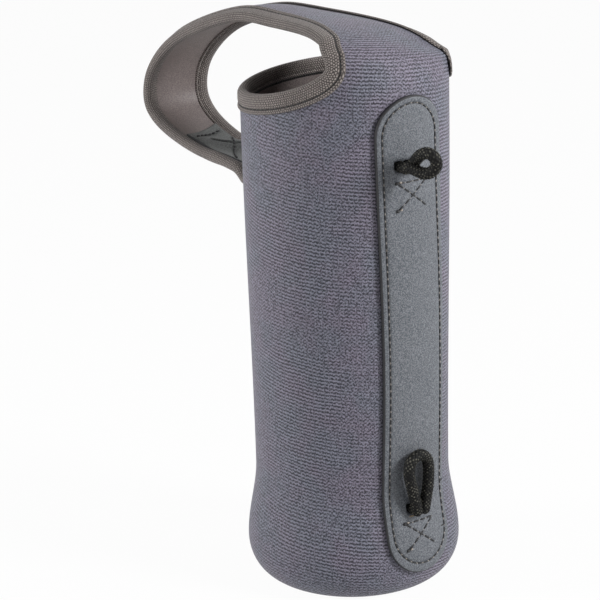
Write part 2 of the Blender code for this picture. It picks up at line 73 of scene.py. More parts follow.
# Studio: a white floor that keeps a faint shadow, a dim white surround, a soft lamp on the right,
# a tall one on the left and a weak one above and behind. The camera, gloss and glass see white.

FLOOR_REACH = 14.0
FLOOR_WHITE = 0.85
CAMERA_WHITE_SHARE = 0.96
SURROUND = 0.13
WHITE_RAYS = ("Is Camera Ray", "Is Glossy Ray", "Is Transmission Ray")
LAMPS = {
    # name: place as (degrees right of the camera, degrees up, distance), (width, height), power
    "right_lamp": ((63, 28, 0.95), (0.22, 0.30), 7.6),
    "left_lamp": ((-84, 18, 0.85), (0.22, 0.80), 5.2),
    "top_lamp": ((140, 62, 1.0), (0.6, 0.6), 1.6),
}


class Value:
    """A node's output. Arithmetic on it adds Math nodes to its finish."""

    def __init__(self, finish, socket):
        self.finish = finish
        self.socket = socket

    def math(self, operation, *values):
        return self.finish.node("Math", {"operation": operation}, dict(enumerate(values)))

    def __add__(self, other):
        return self.math("ADD", self, other)

    __radd__ = __add__

    def __sub__(self, other):
        return self.math("SUBTRACT", self, other)

    def __rsub__(self, other):
        return self.math("SUBTRACT", other, self)

    def __mul__(self, other):
        return self.math("MULTIPLY", self, other)

    __rmul__ = __mul__

    def __truediv__(self, other):
        return self.math("DIVIDE", self, other)

    def sine(self):
        return self.math("SINE", self)

    def floor(self):
        return self.math("FLOOR", self)

    def size(self):
        return self.math("ABSOLUTE", self)

    def fraction(self):
        return self.math("FRACT", self)


class Finish:
    """A material made of nodes, with its Principled shader's own sockets set by name."""

    def __init__(self, name, **sockets):
        self.material = bpy.data.materials.new(name)
        self.material.use_nodes = True
        self.tree = self.material.node_tree
        self.shader = self.tree.nodes["Principled BSDF"]
        for word, value in sockets.items():
            self.own_socket(word).default_value = value

    def own_socket(self, word):
        """The shader's socket that a plain word names."""
        return self.shader.inputs[word.replace("_", " ").title().replace("Ior", "IOR")]

    def link(self, **sockets):
        """Links values to the shader's sockets by name."""
        for word, value in sockets.items():
            self.tree.links.new(value.socket, self.own_socket(word))

    def node(self, kind, settings=None, inputs=None, output=0):
        """Any node: its type, its settings, and its sockets' values or links."""
        made = self.tree.nodes.new("ShaderNode" + kind)
        for key, setting in (settings or {}).items():
            setattr(made, key, setting)
        for key, value in (inputs or {}).items():
            if isinstance(value, Value):
                self.tree.links.new(value.socket, made.inputs[key])
            else:
                made.inputs[key].default_value = value
        return Value(self, made.outputs[output])

    def flat(self):
        """The two coordinates of the piece's own UV map, in millimetres on the flat cut."""
        place = self.node("UVMap", {"uv_map": "flat"})
        return tuple(self.node("SeparateXYZ", {}, {0: place}, axis) for axis in (0, 1))

    def grain(self, scale, detail=2.0, roughness=0.5):
        """Noise from 0 to 1 on Object coordinates, its scale in bumps per metre."""
        place = self.node("TexCoord", {}, {}, "Object")
        sockets = {"Vector": place, "Scale": scale, "Detail": detail, "Roughness": roughness}
        return self.node("TexNoise", {}, sockets)

    def blend(self, share, first, second):
        """A colour between two others."""
        first, second = ((*end, 1) if isinstance(end, tuple) else end for end in (first, second))
        return self.node("Mix", {"data_type": "RGBA"}, {0: share, 6: first, 7: second}, 2)

    def stretch(self, value, low, high):
        """The value read as a share of the way from low to high, held between 0 and 1."""
        return self.node("MapRange", {}, {0: value, 1: low, 2: high})

    def relief(self, height, depth, strength):
        """Bump of this depth in metres, as a normal."""
        return self.node("Bump", {}, {"Height": height, "Distance": depth, "Strength": strength})


def studio():
    """Floor, surround and lamps."""
    bpy.ops.mesh.primitive_plane_add(size=FLOOR_REACH)
    floor = bpy.context.object
    floor.name = "floor"
    paper = Finish("studio_paper", base_color=(FLOOR_WHITE, FLOOR_WHITE, FLOOR_WHITE, 1), roughness=1.0)
    camera_ray, gloss_ray, clear_ray = (paper.node("LightPath", {}, {}, ray) for ray in WHITE_RAYS)
    seen = (camera_ray + gloss_ray + clear_ray) * CAMERA_WHITE_SHARE
    glow = paper.node("Emission", {}, {"Color": (1, 1, 1, 1), "Strength": 1.0})
    shader = Value(paper, paper.shader.outputs[0])
    mixed = paper.node("MixShader", {}, {0: seen, 1: shader, 2: glow})
    paper.tree.links.new(mixed.socket, paper.tree.nodes["Material Output"].inputs["Surface"])
    floor.data.materials.append(paper.material)
    for name, ((turned, raised, distance), (width, height), power) in LAMPS.items():
        light = bpy.data.lights.new(name, "AREA")
        light.shape = "RECTANGLE"
        light.size = width
        light.size_y = height
        light.energy = power
        lamp = bpy.data.objects.new(name, light)
        turned, raised = math.radians(turned), math.radians(raised)
        level = across * math.sin(turned) - away * math.cos(turned)
        direction = level * math.cos(raised) + Vector((0, 0, math.sin(raised)))
        facing = direction.to_track_quat("Z", "Y").to_matrix().to_4x4()
        lamp.matrix_world = Matrix.Translation(aim + direction * distance) @ facing
        bpy.context.scene.collection.objects.link(lamp)
    world = bpy.context.scene.world or bpy.data.worlds.new("surround")
    bpy.context.scene.world = world
    world.use_nodes = True
    tree = world.node_tree
    background = tree.nodes["Background"]
    path = tree.nodes.new("ShaderNodeLightPath")
    # Strength is SURROUND plus what is left of 1 for each kind of ray that sees white
    white = None
    for ray in WHITE_RAYS:
        level = tree.nodes.new("ShaderNodeMath")
        level.operation = "MULTIPLY_ADD"
        tree.links.new(path.outputs[ray], level.inputs[0])
        level.inputs[1].default_value = 1 - SURROUND
        level.inputs[2].default_value = SURROUND
        if white:
            tree.links.new(white, level.inputs[2])
        white = level.outputs[0]
    tree.links.new(white, background.inputs["Strength"])
    background.inputs["Color"].default_value = (1, 1, 1, 1)


studio()
bpy.context.scene.view_settings.view_transform = "Standard"

# Foam sheet: a thin closed-cell foam faced with a ribbed knit outside and a satin lining
# inside. One cut of it is the sleeve's wall, the tongue above the patch and the whole handle.
# It is a lofted shell: its sag, roll and turned end are worked out, not simulated.

FOAM = 2.5 * MM
TAPE = 0.6 * MM
FIT_GAP = 0.3 * MM

# The sleeve, from the turned-in bottom to the neck
BASE_RADIUS = 28.0 * MM
FOOT_RADIUS = 30.0 * MM
FLARE_RADIUS = 40.6 * MM
FLARE_HEIGHT = 14.0 * MM
WAIST_RADIUS = 36.8 * MM
WAIST_HEIGHT = 44.0 * MM
MOUTH_RADIUS = 38.2 * MM
SHOULDER_HEIGHT = 180.0 * MM
RIM_HEIGHT = 189.3 * MM
RIM_TILT = 2.7 * MM
NECK_HEIGHT = 202.5 * MM
NECK_SKEW = 3.0 * MM
NECK_ANGLE = math.radians(46.5)
RIM_POWER = 2.4

# The handle, from the neck to its end on the back wall
HANDLE_TOP = 214.6 * MM
HANDLE_END = 148.0 * MM
HANDLE_REACH = 107.6 * MM
HANDLE_HALF_WIDTH = 14.6 * MM
HANDLE_CROWN = 2.4 * MM
FRONT_STRAIGHT = 14.0 * MM
NECK_BLEND = 20.0 * MM
NARROWING = 80.0 * MM
SKEW_FADE = 45.0 * MM
NECK_EASE = 7.0 * MM
END_BEND_RADIUS = 5.0 * MM
END_LAP = 8.0 * MM
END_BLEND = 13.0 * MM
# The middle line's shares of the reach and of the rise from the end to the top
FRONT_SHARES = ((0.934, 0.830), (0.720, 0.917), (0.254, 0.993))
BACK_SHARES = ((0.195, 1.0), (0.452, 0.973), (0.766, 0.804), (0.954, 0.557), (1.0, 0.304))
LAST_SHARES = ((0.909, 0.129), (0.677, 0.013))
END_TURNS = np.radians([75, 110, 145, 180])
# How the strap rolls about its line, at these shares of the way from the neck
ROLL_SHARES = (0.0, 0.07, 0.27, 0.49, 0.86, 0.96)
ROLL_ANGLES = tuple(math.radians(turn) for turn in (0.0, 9.0, 5.4, -1.5, -9.5, 0.0))

LINE_STEPS = 24
TONGUE_COLUMNS = 49
SIDE_COLUMNS = 84
SIDE_CROWDING = 1.35
WALL_ROWS = 96
RIM_ROWS = 22
STRAP_ROWS = 300
# Keeps a cell with no area from dividing by nothing
NOT_NOTHING = 1e-15


def smooth(share):
    """Ease from 0 to 1 with level ends."""
    share = np.clip(share, 0.0, 1.0)
    return share * share * (3 - 2 * share)


def eased(where, stops, values):
    """Values that ease from stop to stop, level at each stop."""
    result = np.full(np.shape(where), float(values[0]))
    for low, high, start, end in zip(stops, stops[1:], values, values[1:]):
        result = result + (end - start) * smooth((where - low) / (high - low))
    return result


def unit(vectors):
    """Each vector divided by its length."""
    return vectors / np.linalg.norm(vectors, axis=-1, keepdims=True)


def smooth_line(points, steps=LINE_STEPS):
    """Catmull-Rom line through the points."""
    points = np.asarray(points, float)
    held = np.vstack([2 * points[0] - points[1], points, 2 * points[-1] - points[-2]])
    t = np.linspace(0, 1, steps, endpoint=False)[:, None]
    runs = []
    for a, b, c, d in zip(held, held[1:], held[2:], held[3:]):
        square = (2 * a - 5 * b + 4 * c - d) * t**2
        cube = (3 * b - a - 3 * c + d) * t**3
        runs.append((2 * b + (c - a) * t + square + cube) / 2)
    return np.vstack(runs + [points[-1:]])


def lengths_along(line):
    """Distance from the line's start to each of its points."""
    return np.concatenate([[0], np.cumsum(np.linalg.norm(np.diff(line, axis=0), axis=1))])


def read_along(values, at, lengths):
    """Rows of values held at these distances, read at other lengths."""
    return np.stack([np.interp(lengths, at, column) for column in np.asarray(values).T], axis=-1)


def sleeve_radius(height):
    """Outside radius: a quarter ellipse up to the flare, eased in to the waist, opening to the mouth."""
    height = np.asarray(height, float)
    climb = np.clip(height / FLARE_HEIGHT, 0, 1)
    bottom = FOOT_RADIUS + (FLARE_RADIUS - FOOT_RADIUS) * np.sqrt(1 - (1 - climb) ** 2)
    draw_in = smooth((height - FLARE_HEIGHT) / (WAIST_HEIGHT - FLARE_HEIGHT))
    middle = FLARE_RADIUS + (WAIST_RADIUS - FLARE_RADIUS) * draw_in
    opening = smooth((height - WAIST_HEIGHT) / (SHOULDER_HEIGHT - WAIST_HEIGHT))
    top = WAIST_RADIUS + (MOUTH_RADIUS - WAIST_RADIUS) * opening
    return np.where(height < FLARE_HEIGHT, bottom, np.where(height < WAIST_HEIGHT, middle, top))


def turned_point(angle, radius, height):
    """Point at this radius and height, with the angle measured from the front towards +X."""
    return np.stack(np.broadcast_arrays(radius * np.sin(angle), -radius * np.cos(angle), height), axis=-1)


def rim_height(angle):
    """Height of the sheet's edge at the mouth: a superellipse that stands upright at the neck."""
    share = np.clip((math.pi - np.abs(angle)) / (math.pi - NECK_ANGLE), 0, 1)
    neck = NECK_HEIGHT - np.sign(angle) * NECK_SKEW
    level = RIM_HEIGHT + RIM_TILT * np.sin(angle)
    return level + (neck - level) * (1 - np.sqrt(1 - share**RIM_POWER))


def lap_radius():
    """Radius of the strap's outside face where its end lies along the back wall, over the edge tape."""
    return float(sleeve_radius(HANDLE_END + END_BEND_RADIUS)) + TAPE + 2 * FIT_GAP


def handle_line():
    """The handle's middle line as (Y, Z): up the front, over the mouth, down, and turned up the back wall."""
    rise = HANDLE_TOP - HANDLE_END
    points = [(-MOUTH_RADIUS, SHOULDER_HEIGHT + FRONT_STRAIGHT * share) for share in (0, 0.5, 1)]
    points += [(-MOUTH_RADIUS * y, HANDLE_END + rise * z) for y, z in FRONT_SHARES]
    points += [(HANDLE_REACH * y, HANDLE_END + rise * z) for y, z in BACK_SHARES + LAST_SHARES]
    centre_y = lap_radius() + END_BEND_RADIUS
    centre_z = HANDLE_END + END_BEND_RADIUS
    for turned in END_TURNS:
        out, down = math.cos(turned), math.sin(turned)
        points.append((centre_y + END_BEND_RADIUS * out, centre_z - END_BEND_RADIUS * down))
    points += [(lap_radius(), centre_z + END_LAP * share) for share in (0.5, 1)]
    return smooth_line(points)


LINE = handle_line()
LINE_LENGTHS = lengths_along(LINE)
LINE_TANGENTS = unit(np.gradient(LINE, axis=0))
HANDLE_LENGTH = float(LINE_LENGTHS[-1])
NECK_LENGTH = float(LINE_LENGTHS[3 * LINE_STEPS])


def handle_points(lengths, across_share):
    """Outside face of tongue and strap: a row for each length, a column for each share across.

    Each section is an arc from edge to edge through the middle line. Past the neck it flattens and
    narrows, rolls about the line, and at the sewn end bows the other way to fit the back wall.
    """
    lengths = np.asarray(lengths, float)[:, None]
    across_share = np.asarray(across_share, float)[None, :]
    line = read_along(LINE, LINE_LENGTHS, lengths[:, 0])[:, None, :]
    tangent = unit(read_along(LINE_TANGENTS, LINE_LENGTHS, lengths[:, 0]))[:, None, :]
    inward = np.stack([tangent[..., 1], -tangent[..., 0]], axis=-1)
    climb = np.clip(lengths / NECK_LENGTH, 0, 1)
    past = np.clip(lengths - NECK_LENGTH, 0, None)
    neck_half = MOUTH_RADIUS * math.sin(NECK_ANGLE)
    edge_y = -MOUTH_RADIUS * math.cos(NECK_ANGLE) - line[..., 0]
    edge_z = SHOULDER_HEIGHT + (NECK_HEIGHT - SHOULDER_HEIGHT) * climb - line[..., 1]
    edge = np.stack([edge_y, edge_z], axis=-1)
    neck_corner = np.array([[-MOUTH_RADIUS * math.cos(NECK_ANGLE), NECK_HEIGHT]])
    at_neck = neck_corner - read_along(LINE, LINE_LENGTHS, [NECK_LENGTH])
    sag = lap_radius() - math.sqrt(lap_radius() ** 2 - HANDLE_HALF_WIDTH**2)
    end_share = smooth((lengths - (HANDLE_LENGTH - END_LAP - END_BLEND)) / END_BLEND)
    bow = HANDLE_CROWN * (1 - end_share) - sag * end_share
    turned = smooth(past / NECK_BLEND)[..., None]
    climb_rate = (NECK_HEIGHT - SHOULDER_HEIGHT) / NECK_LENGTH
    onward = np.array([0.0, climb_rate]) - read_along(LINE_TANGENTS, LINE_LENGTHS, [NECK_LENGTH])
    carried = past * (1 - np.clip(past / NECK_EASE, 0, 1)) ** 2
    settled = (1 - turned) * at_neck + turned * inward * bow[..., None] + onward * carried[..., None]
    edge = np.where(past[..., None] > 0, settled, edge)
    half = neck_half - (neck_half - HANDLE_HALF_WIDTH) * smooth(past / NARROWING) ** 0.8
    skew = NECK_SKEW * np.where(past > 0, 1 - smooth(past / SKEW_FADE), climb)
    standing = unit((1 - turned) * np.array([0.0, 1.0]) + turned * tangent)
    roll = eased(past / (HANDLE_LENGTH - NECK_LENGTH), ROLL_SHARES, ROLL_ANGLES)
    angle = across_share * NECK_ANGLE
    flat_share = np.sin(angle) / math.sin(NECK_ANGLE)
    arc_share = (1 - np.cos(angle)) / (1 - math.cos(NECK_ANGLE))
    sideways = half * flat_share
    place = line + edge * arc_share[..., None]
    place = place + inward * (np.sin(roll) * sideways)[..., None]
    place = place - standing * (skew * flat_share)[..., None]
    return np.concatenate([(sideways * np.cos(roll))[..., None], place], axis=-1)


def closed(grid):
    """A grid of anything whose rows run round, with its first column again after its last."""
    return np.concatenate([grid, grid[:, :1]], axis=1)


def numbered(points):
    """The number of each point of a grid of points."""
    return np.arange(points.size // 3).reshape(points.shape[:-1])


def facing_out(rows):
    """The outward normal at each point of a grid, from the cell diagonals round it."""
    falling = rows[1:, :-1] - rows[:-1, 1:]
    rising = rows[1:, 1:] - rows[:-1, :-1]
    faces = unit(np.cross(rising, falling) + NOT_NOTHING)
    around_point = np.pad(faces, ((1, 1), (1, 1), (0, 0)))
    total = around_point[1:, 1:] + around_point[1:, :-1] + around_point[:-1, 1:] + around_point[:-1, :-1]
    return unit(total)


def cells(grid):
    """The four corners of each cell of a grid of anything, row by row."""
    corners = (grid[:-1, :-1], grid[:-1, 1:], grid[1:, 1:], grid[1:, :-1])
    stacked = np.stack(corners, axis=2)
    return stacked.reshape(-1, 4, *grid.shape[2:])


def make_piece(name, points, faces, flat, finishes, which=None, merge=0.0):
    """A mesh object from points, four-cornered faces, each corner's place on the flat cut, and finishes."""
    mesh = bpy.data.meshes.new(name)
    mesh.from_pydata(points.reshape(-1, 3).tolist(), [], faces.tolist())
    if flat is not None:
        layer = mesh.uv_layers.new(name="flat")
        layer.data.foreach_set("uv", np.asarray(flat, np.float32).ravel())
    for finish in finishes:
        mesh.materials.append(finish.material)
    if which is not None:
        mesh.polygons.foreach_set("material_index", np.asarray(which, np.int32))
    if merge:
        bm = bmesh.new()
        bm.from_mesh(mesh)
        bmesh.ops.remove_doubles(bm, verts=bm.verts, dist=merge)
        bmesh.ops.dissolve_degenerate(bm, edges=bm.edges, dist=merge / 10)
        bmesh.ops.recalc_face_normals(bm, faces=bm.faces)
        bm.to_mesh(mesh)
        bm.free()
    mesh.shade_smooth()
    mesh.update()
    piece = bpy.data.objects.new(name, mesh)
    bpy.context.scene.collection.objects.link(piece)
    return piece


RIB_PITCH = 1.35
# The ribs fall by 20 pitches in a turn and the slants by 134, so that both close up behind
RIB_FALL, WALE_SLOPE = (pitches * RIB_PITCH / (2 * math.pi * WAIST_RADIUS / MM) for pitches in (20, 134))
# Each pair is a bluer and a redder yarn
KNIT_DARK = ((0.021, 0.023, 0.033), (0.027, 0.023, 0.034))
KNIT_PALE = ((0.230, 0.236, 0.296), (0.258, 0.236, 0.305))
LINING_TONES = ((0.085, 0.066, 0.069), (0.108, 0.084, 0.083))
LINING_PALE = (0.280, 0.235, 0.220)


def knit_finish():
    """Ribs round the sleeve, crossed by the two slants of its stitches, in a yarn of dark and pale flecks.

    Each of the three is a sine of (height + slope * way round) / pitch, and the slopes close up behind.
    """
    sheen = {"sheen_weight": 0.05, "sheen_roughness": 0.5, "sheen_tint": (0.8, 0.8, 0.95, 1)}
    knit = Finish("ribbed_knit", roughness=0.5, specular_ior_level=0.38, **sheen)
    u, v = knit.flat()
    wander = knit.grain(110.0, 1.0) * 1.2
    turns = 2 * math.pi / RIB_PITCH
    ribs = ((v + u * RIB_FALL + wander) * turns).sine()
    rising = ((v - u * WALE_SLOPE + wander) * turns).sine()
    falling = ((v + u * WALE_SLOPE + wander) * turns).sine()
    bold = knit.stretch(knit.grain(45.0, 1.0), 0.4, 0.62)
    fleck = knit.grain(1800.0, 2.0, 0.75)
    weave = ribs * (bold * 0.16 + 0.08) + (rising + falling) * 0.08 + fleck * 1.9
    light = knit.stretch(weave, 0.74, 1.18)
    tint = knit.stretch(knit.grain(75.0, 2.0), 0.38, 0.62)
    tone = knit.blend(light, knit.blend(tint, *KNIT_DARK), knit.blend(tint, *KNIT_PALE))
    knit.link(base_color=tone, normal=knit.relief(weave, 0.32 * MM, 0.6))
    return knit


def lining_finish():
    """Satin warp knit: smooth, brown-violet, with a soft bright band where it turns to the light."""
    sheen = {"sheen_weight": 0.3, "sheen_roughness": 0.35, "sheen_tint": (1.0, 0.85, 0.75, 1)}
    satin = Finish("satin_lining", roughness=0.52, **sheen)
    fine = satin.grain(2600.0, 2.0, 0.6)
    warm = satin.stretch(satin.grain(35.0, 1.0), 0.3, 0.7)
    tone = satin.blend(warm, *LINING_TONES)
    tone = satin.blend(satin.stretch(fine, 0.36, 0.64) * 0.75, tone, LINING_PALE)
    satin.link(base_color=tone, normal=satin.relief(fine, 0.12 * MM, 0.4))
    return satin


def side_angles():
    """Angles of the wall's columns from the neck round to the back, crowded near the neck."""
    share = np.linspace(0, 1, SIDE_COLUMNS + 1) ** SIDE_CROWDING
    return NECK_ANGLE + (math.pi - NECK_ANGLE) * share


def wall_rows():
    """The sheet up to the neck: rows from the turned-in base to the mouth, columns round from the back."""
    sides = side_angles()[1:]
    across_share = np.linspace(-1, 1, TONGUE_COLUMNS)
    angles = np.concatenate([-sides[::-1], across_share * NECK_ANGLE, sides[:-1]])
    quarter = np.linspace(0, math.pi / 2, 15)
    radii = np.concatenate([[BASE_RADIUS], FOOT_RADIUS + (FLARE_RADIUS - FOOT_RADIUS) * np.sin(quarter)])
    heights = np.concatenate([[0], FLARE_HEIGHT * (1 - np.cos(quarter))])
    upper = np.linspace(FLARE_HEIGHT, SHOULDER_HEIGHT, WALL_ROWS)[1:]
    radii = np.concatenate([radii, sleeve_radius(upper)])
    heights = np.concatenate([heights, upper])
    rows = [turned_point(angles, radius, height) for radius, height in zip(radii, heights)]
    tongue = slice(len(sides), len(sides) + TONGUE_COLUMNS)
    climb = rim_height(angles) - SHOULDER_HEIGHT
    for share in np.linspace(0, 1, RIM_ROWS + 1)[1:]:
        row = turned_point(angles, MOUTH_RADIUS, SHOULDER_HEIGHT + climb * share)
        row[tongue] = handle_points([NECK_LENGTH * share], across_share)[0]
        rows.append(row)
    return np.array(rows), angles, tongue


WALL, WALL_ANGLES, TONGUE = wall_rows()
STRAP_LENGTHS = NECK_LENGTH + (HANDLE_LENGTH - NECK_LENGTH) * np.linspace(0, 1, STRAP_ROWS + 1)
STRAP = handle_points(STRAP_LENGTHS, np.linspace(-1, 1, TONGUE_COLUMNS))


def foam_sheet():
    """Wall and strap as one surface that share the neck's row, thickened inwards."""
    wall_index = closed(numbered(WALL))
    strap_index = np.concatenate([wall_index[-1:, TONGUE], numbered(STRAP[1:]) + WALL.size // 3])
    points = np.concatenate([WALL.reshape(-1, 3), STRAP[1:].reshape(-1, 3)])
    angles = np.append(WALL_ANGLES, WALL_ANGLES[0] + 2 * math.pi)
    height = closed(WALL[..., 2])
    wall_flat = np.stack([np.broadcast_to(angles * WAIST_RADIUS, height.shape), height], axis=-1)
    steps = np.linalg.norm(np.diff(STRAP, axis=1), axis=2)
    sideways = np.concatenate([np.zeros((len(STRAP), 1)), np.cumsum(steps, axis=1)], axis=1)
    sideways = sideways - sideways[:, TONGUE_COLUMNS // 2][:, None]
    upward = STRAP[:1, :, 2] + (STRAP_LENGTHS - NECK_LENGTH)[:, None]
    strap_flat = np.stack([sideways, upward], axis=-1)
    faces = np.concatenate([cells(wall_index), cells(strap_index)])
    flat = np.concatenate([cells(wall_flat), cells(strap_flat)]) / MM
    piece = make_piece("foam_sheet", points, faces, flat, [knit_finish(), lining_finish()])
    wall = piece.modifiers.new("foam", "SOLIDIFY")
    wall.thickness = FOAM
    wall.offset = -1
    wall.use_even_offset = True
    wall.material_offset = 1
    wall.material_offset_rim = 1
    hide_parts("sleeve_wall", "handle_strap")
    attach(piece, "case")


foam_sheet()

# Edge tape: a knit tape folded over the sheet's raw edge and sewn through both hems, in one run
# up the handle's left side, round the mouth and down the right side.

TAPE_PITCH = 0.8
TAPE_STITCH_WIDTH = 0.9
# Outside of the folded tape as (out of the sheet's face, past its edge) in millimetres: a bead along
# the outer hem, the seam's groove, the round back over the edge, then groove and bead inside
OUTER_FACE = ((0.02, -5.1), (0.5, -5.2), (0.9, -4.85), (0.92, -4.1), (0.34, -3.4), (0.68, -2.9), (0.85, -2.2))
OUTER_GROOVE = OUTER_FACE[4]
INNER_BEAD = ((0.85, -1.2), (0.64, -1.9), (0.38, -2.35), (0.62, -2.7), (0.68, -3.1), (0.40, -3.38))
INNER_LEDGE = ((0.12, -3.45), (0.10, -3.9), (0.08, -4.3), (-0.02, -4.35))
INNER_FACE = INNER_BEAD + INNER_LEDGE
FOLD_ROUND = 0.85
TAPE_DARK = (0.040, 0.033, 0.031)
TAPE_PALE = (0.400, 0.350, 0.325)
TAPE_CLOUD = (0.115, 0.098, 0.094)
TAPE_SHADE = (0.008, 0.007, 0.007)
EDGE_STEP = 0.8 * MM
# Rows of the strap left out at the neck, so that the edge turns its corner in a curve
NECK_SKIP = 3
# Points on each side over which the edge's directions are evened out
EVENING = 4


def tape_profile():
    """The section's outline: outer face, half circle over the edge, inner face, and back along the sheet."""
    fold = np.linspace(0, math.pi, 13)
    foam = FOAM / MM
    radius = foam / 2 + FOLD_ROUND
    over = [(radius * math.cos(turned) - foam / 2, radius * math.sin(turned)) for turned in fold]
    inside = [(-foam - out, past) for out, past in INNER_FACE]
    shown = smooth_line(list(OUTER_FACE) + over + inside, 2)
    core = foam / 2 + 0.02
    back = [(core * math.cos(turned) - foam / 2, core * math.sin(turned)) for turned in fold[::-2]]
    return np.vstack([shown, back]) * MM


TAPE_SECTION = tape_profile()


def place_round(out, past):
    """Distance round the section to its point nearest to this one, all in millimetres."""
    nearest = np.argmin(np.linalg.norm(TAPE_SECTION / MM - (out, past), axis=1))
    return float(lengths_along(TAPE_SECTION)[nearest]) / MM


def edge_run():
    """The sheet's edge as one even line, with its outward normals: along the strap, round, and back."""
    strap_out = facing_out(STRAP)
    wall_out = facing_out(closed(WALL))[-1]
    left = SIDE_COLUMNS
    right = SIDE_COLUMNS + TONGUE_COLUMNS - 1
    width = WALL.shape[1]
    round_back = list(range(left - 1, -1, -1)) + list(range(width - 1, right, -1))
    left_side, right_side = slice(None, NECK_SKIP, -1), slice(NECK_SKIP + 1, None)
    edge = np.concatenate([STRAP[left_side, 0], WALL[-1][round_back], STRAP[right_side, -1]])
    outward = np.concatenate([strap_out[left_side, 0], wall_out[round_back], strap_out[right_side, -1]])
    at = lengths_along(edge)
    even = np.linspace(0, at[-1], round(at[-1] / EDGE_STEP))
    edge = read_along(edge, at, even)
    outward = unit(read_along(outward, at, even))
    spread = np.hanning(2 * EVENING + 1)
    spread = spread / spread.sum()
    padded = np.pad(outward, ((EVENING, EVENING), (0, 0)), "edge")
    outward = unit(np.stack([np.convolve(column, spread, "valid") for column in padded.T], axis=-1))
    return edge, outward, even


# Lines round the section painted nearly black as shade, and their half widths: the contact shadow under the
# outer hem's bead, the shade in its seam's groove and the dark gap along the inner hem
PAINTED_SHADE_LINES = ((0.0, 0.3), (place_round(*OUTER_GROOVE), 0.1), (place_round(-FOAM / MM - 0.1, -3.9), 0.4))
EDGE, EDGE_OUT, EDGE_LENGTHS = edge_run()
EDGE_ALONG = unit(np.gradient(EDGE, EDGE_LENGTHS, axis=0))
EDGE_LEAVING = unit(np.cross(EDGE_ALONG, EDGE_OUT))


def tape_finish():
    """Fine knit tape: rows of interlocked stitches like fish scales, with painted shade as nearly black lines
    along its hems and in its seam's groove.
    """
    sheen = {"sheen_weight": 0.15, "sheen_roughness": 0.5}
    tape = Finish("edge_tape_knit", roughness=0.75, specular_ior_level=0.35, **sheen)
    u, v = tape.flat()
    pulled = u + tape.grain(700.0, 1.0) * 0.9
    row = (v / TAPE_PITCH).floor()
    stitch = ((pulled / TAPE_STITCH_WIDTH + row * 0.5) * (2 * math.pi)).sine() * 0.5 + 0.5
    ridge = (v * (math.pi / TAPE_PITCH)).sine().size()
    cell = stitch * ridge
    fuzz = tape.grain(3000.0, 2.0, 0.7)
    cloud = tape.stretch(tape.grain(120.0, 1.0), 0.3, 0.7)
    tone = tape.blend(tape.stretch(cell + fuzz * 0.7, 0.38, 1.1), TAPE_DARK, TAPE_PALE)
    tone = tape.blend(cloud * 0.3, tone, TAPE_CLOUD)
    # Painted shade: each line fades the tone to TAPE_SHADE, where shadow falls at a hem or in the seam's
    # groove
    for place, half in PAINTED_SHADE_LINES:
        clear = tape.stretch((v - place).size(), half, half + 0.2)
        tone = tape.blend(clear, TAPE_SHADE, tone)
    tape.link(base_color=tone, normal=tape.relief(cell * 0.7 + fuzz * 0.4, 0.35 * MM, 0.8))
    return tape


def edge_tape():
    """The folded tape's profile carried along the sheet's edge."""
    around_section = lengths_along(np.vstack([TAPE_SECTION, TAPE_SECTION[:1]]))
    out, past = TAPE_SECTION[:, :1], TAPE_SECTION[:, 1:]
    points = EDGE[:, None] + EDGE_OUT[:, None] * out + EDGE_LEAVING[:, None] * past
    index = closed(numbered(points))
    along = np.broadcast_to(EDGE_LENGTHS[:, None], index.shape)
    flat = np.stack([along, np.broadcast_to(around_section, index.shape)], axis=-1)
    piece = make_piece("edge_tape", points, cells(index), cells(flat) / MM, [tape_finish()])
    bm = bmesh.new()
    bm.from_mesh(piece.data)
    bmesh.ops.holes_fill(bm, edges=[edge for edge in bm.edges if edge.is_boundary])
    bm.to_mesh(piece.data)
    bm.free()
    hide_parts("rim_tape", "handle_tape_left", "handle_tape_right")
    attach(piece, "case")


edge_tape()

# Leather patch: one long piece of slate-grey leather with round ends and a black cut edge, sewn flat
# on the front through the foam, a little askew. Two short slits in it let the cords out.

PATCH_HALF_WIDTH = 14.3 * MM
PATCH_BOTTOM = 10.5 * MM
PATCH_TOP = 193.0 * MM
PATCH_FACE = 1.85 * MM
# How far the middle line lies to the side, at these shares of the way up the patch
DRIFT_SHARES = (0.1, 0.4, 1.0)
DRIFTS = (-1.0 * MM, 0.0, -2.6 * MM)
# Heights of the slits, and where the middle of each lies to the side of the middle line
SLITS = {"upper": 168.0 * MM, "lower": 36.0 * MM}
SLIT_MIDDLES = {"upper": -3.6 * MM, "lower": -1.5 * MM}
SLIT_HALF_WIDTH = 3.9 * MM
SLIT_HALF_HEIGHT = 1.8 * MM
TAIL_REACH = 16.0 * MM
# The seam inside the outline, and how much farther in it runs at the bottom and at the top right
SEAM_INSET = 2.5 * MM
SEAM_RISE = 1.4 * MM
SEAM_LEAN = 0.9 * MM
# Depth or rise, and width, of the forms in the leather
SEAM_GROOVE = (-0.30 * MM, 0.5 * MM)
CROSS_GROOVE = (-0.32 * MM, 0.75 * MM)
SLIT_LIP = (0.14 * MM, 1.6 * MM)
SLIT_DEPTH = 1.4 * MM
MIDDLE_SWELL = 0.12 * MM
TAIL_SWELL = 0.25 * MM
TAIL_HALF_WIDTH = 7.0 * MM
# The crossed stitches under a slit: left and right ends, and top and bottom below the slit
CROSS_SIDES = (-6.8 * MM, 5.2 * MM)
CROSS_DROPS = {"upper": (6.0 * MM, 16.2 * MM), "lower": (5.0 * MM, 15.2 * MM)}
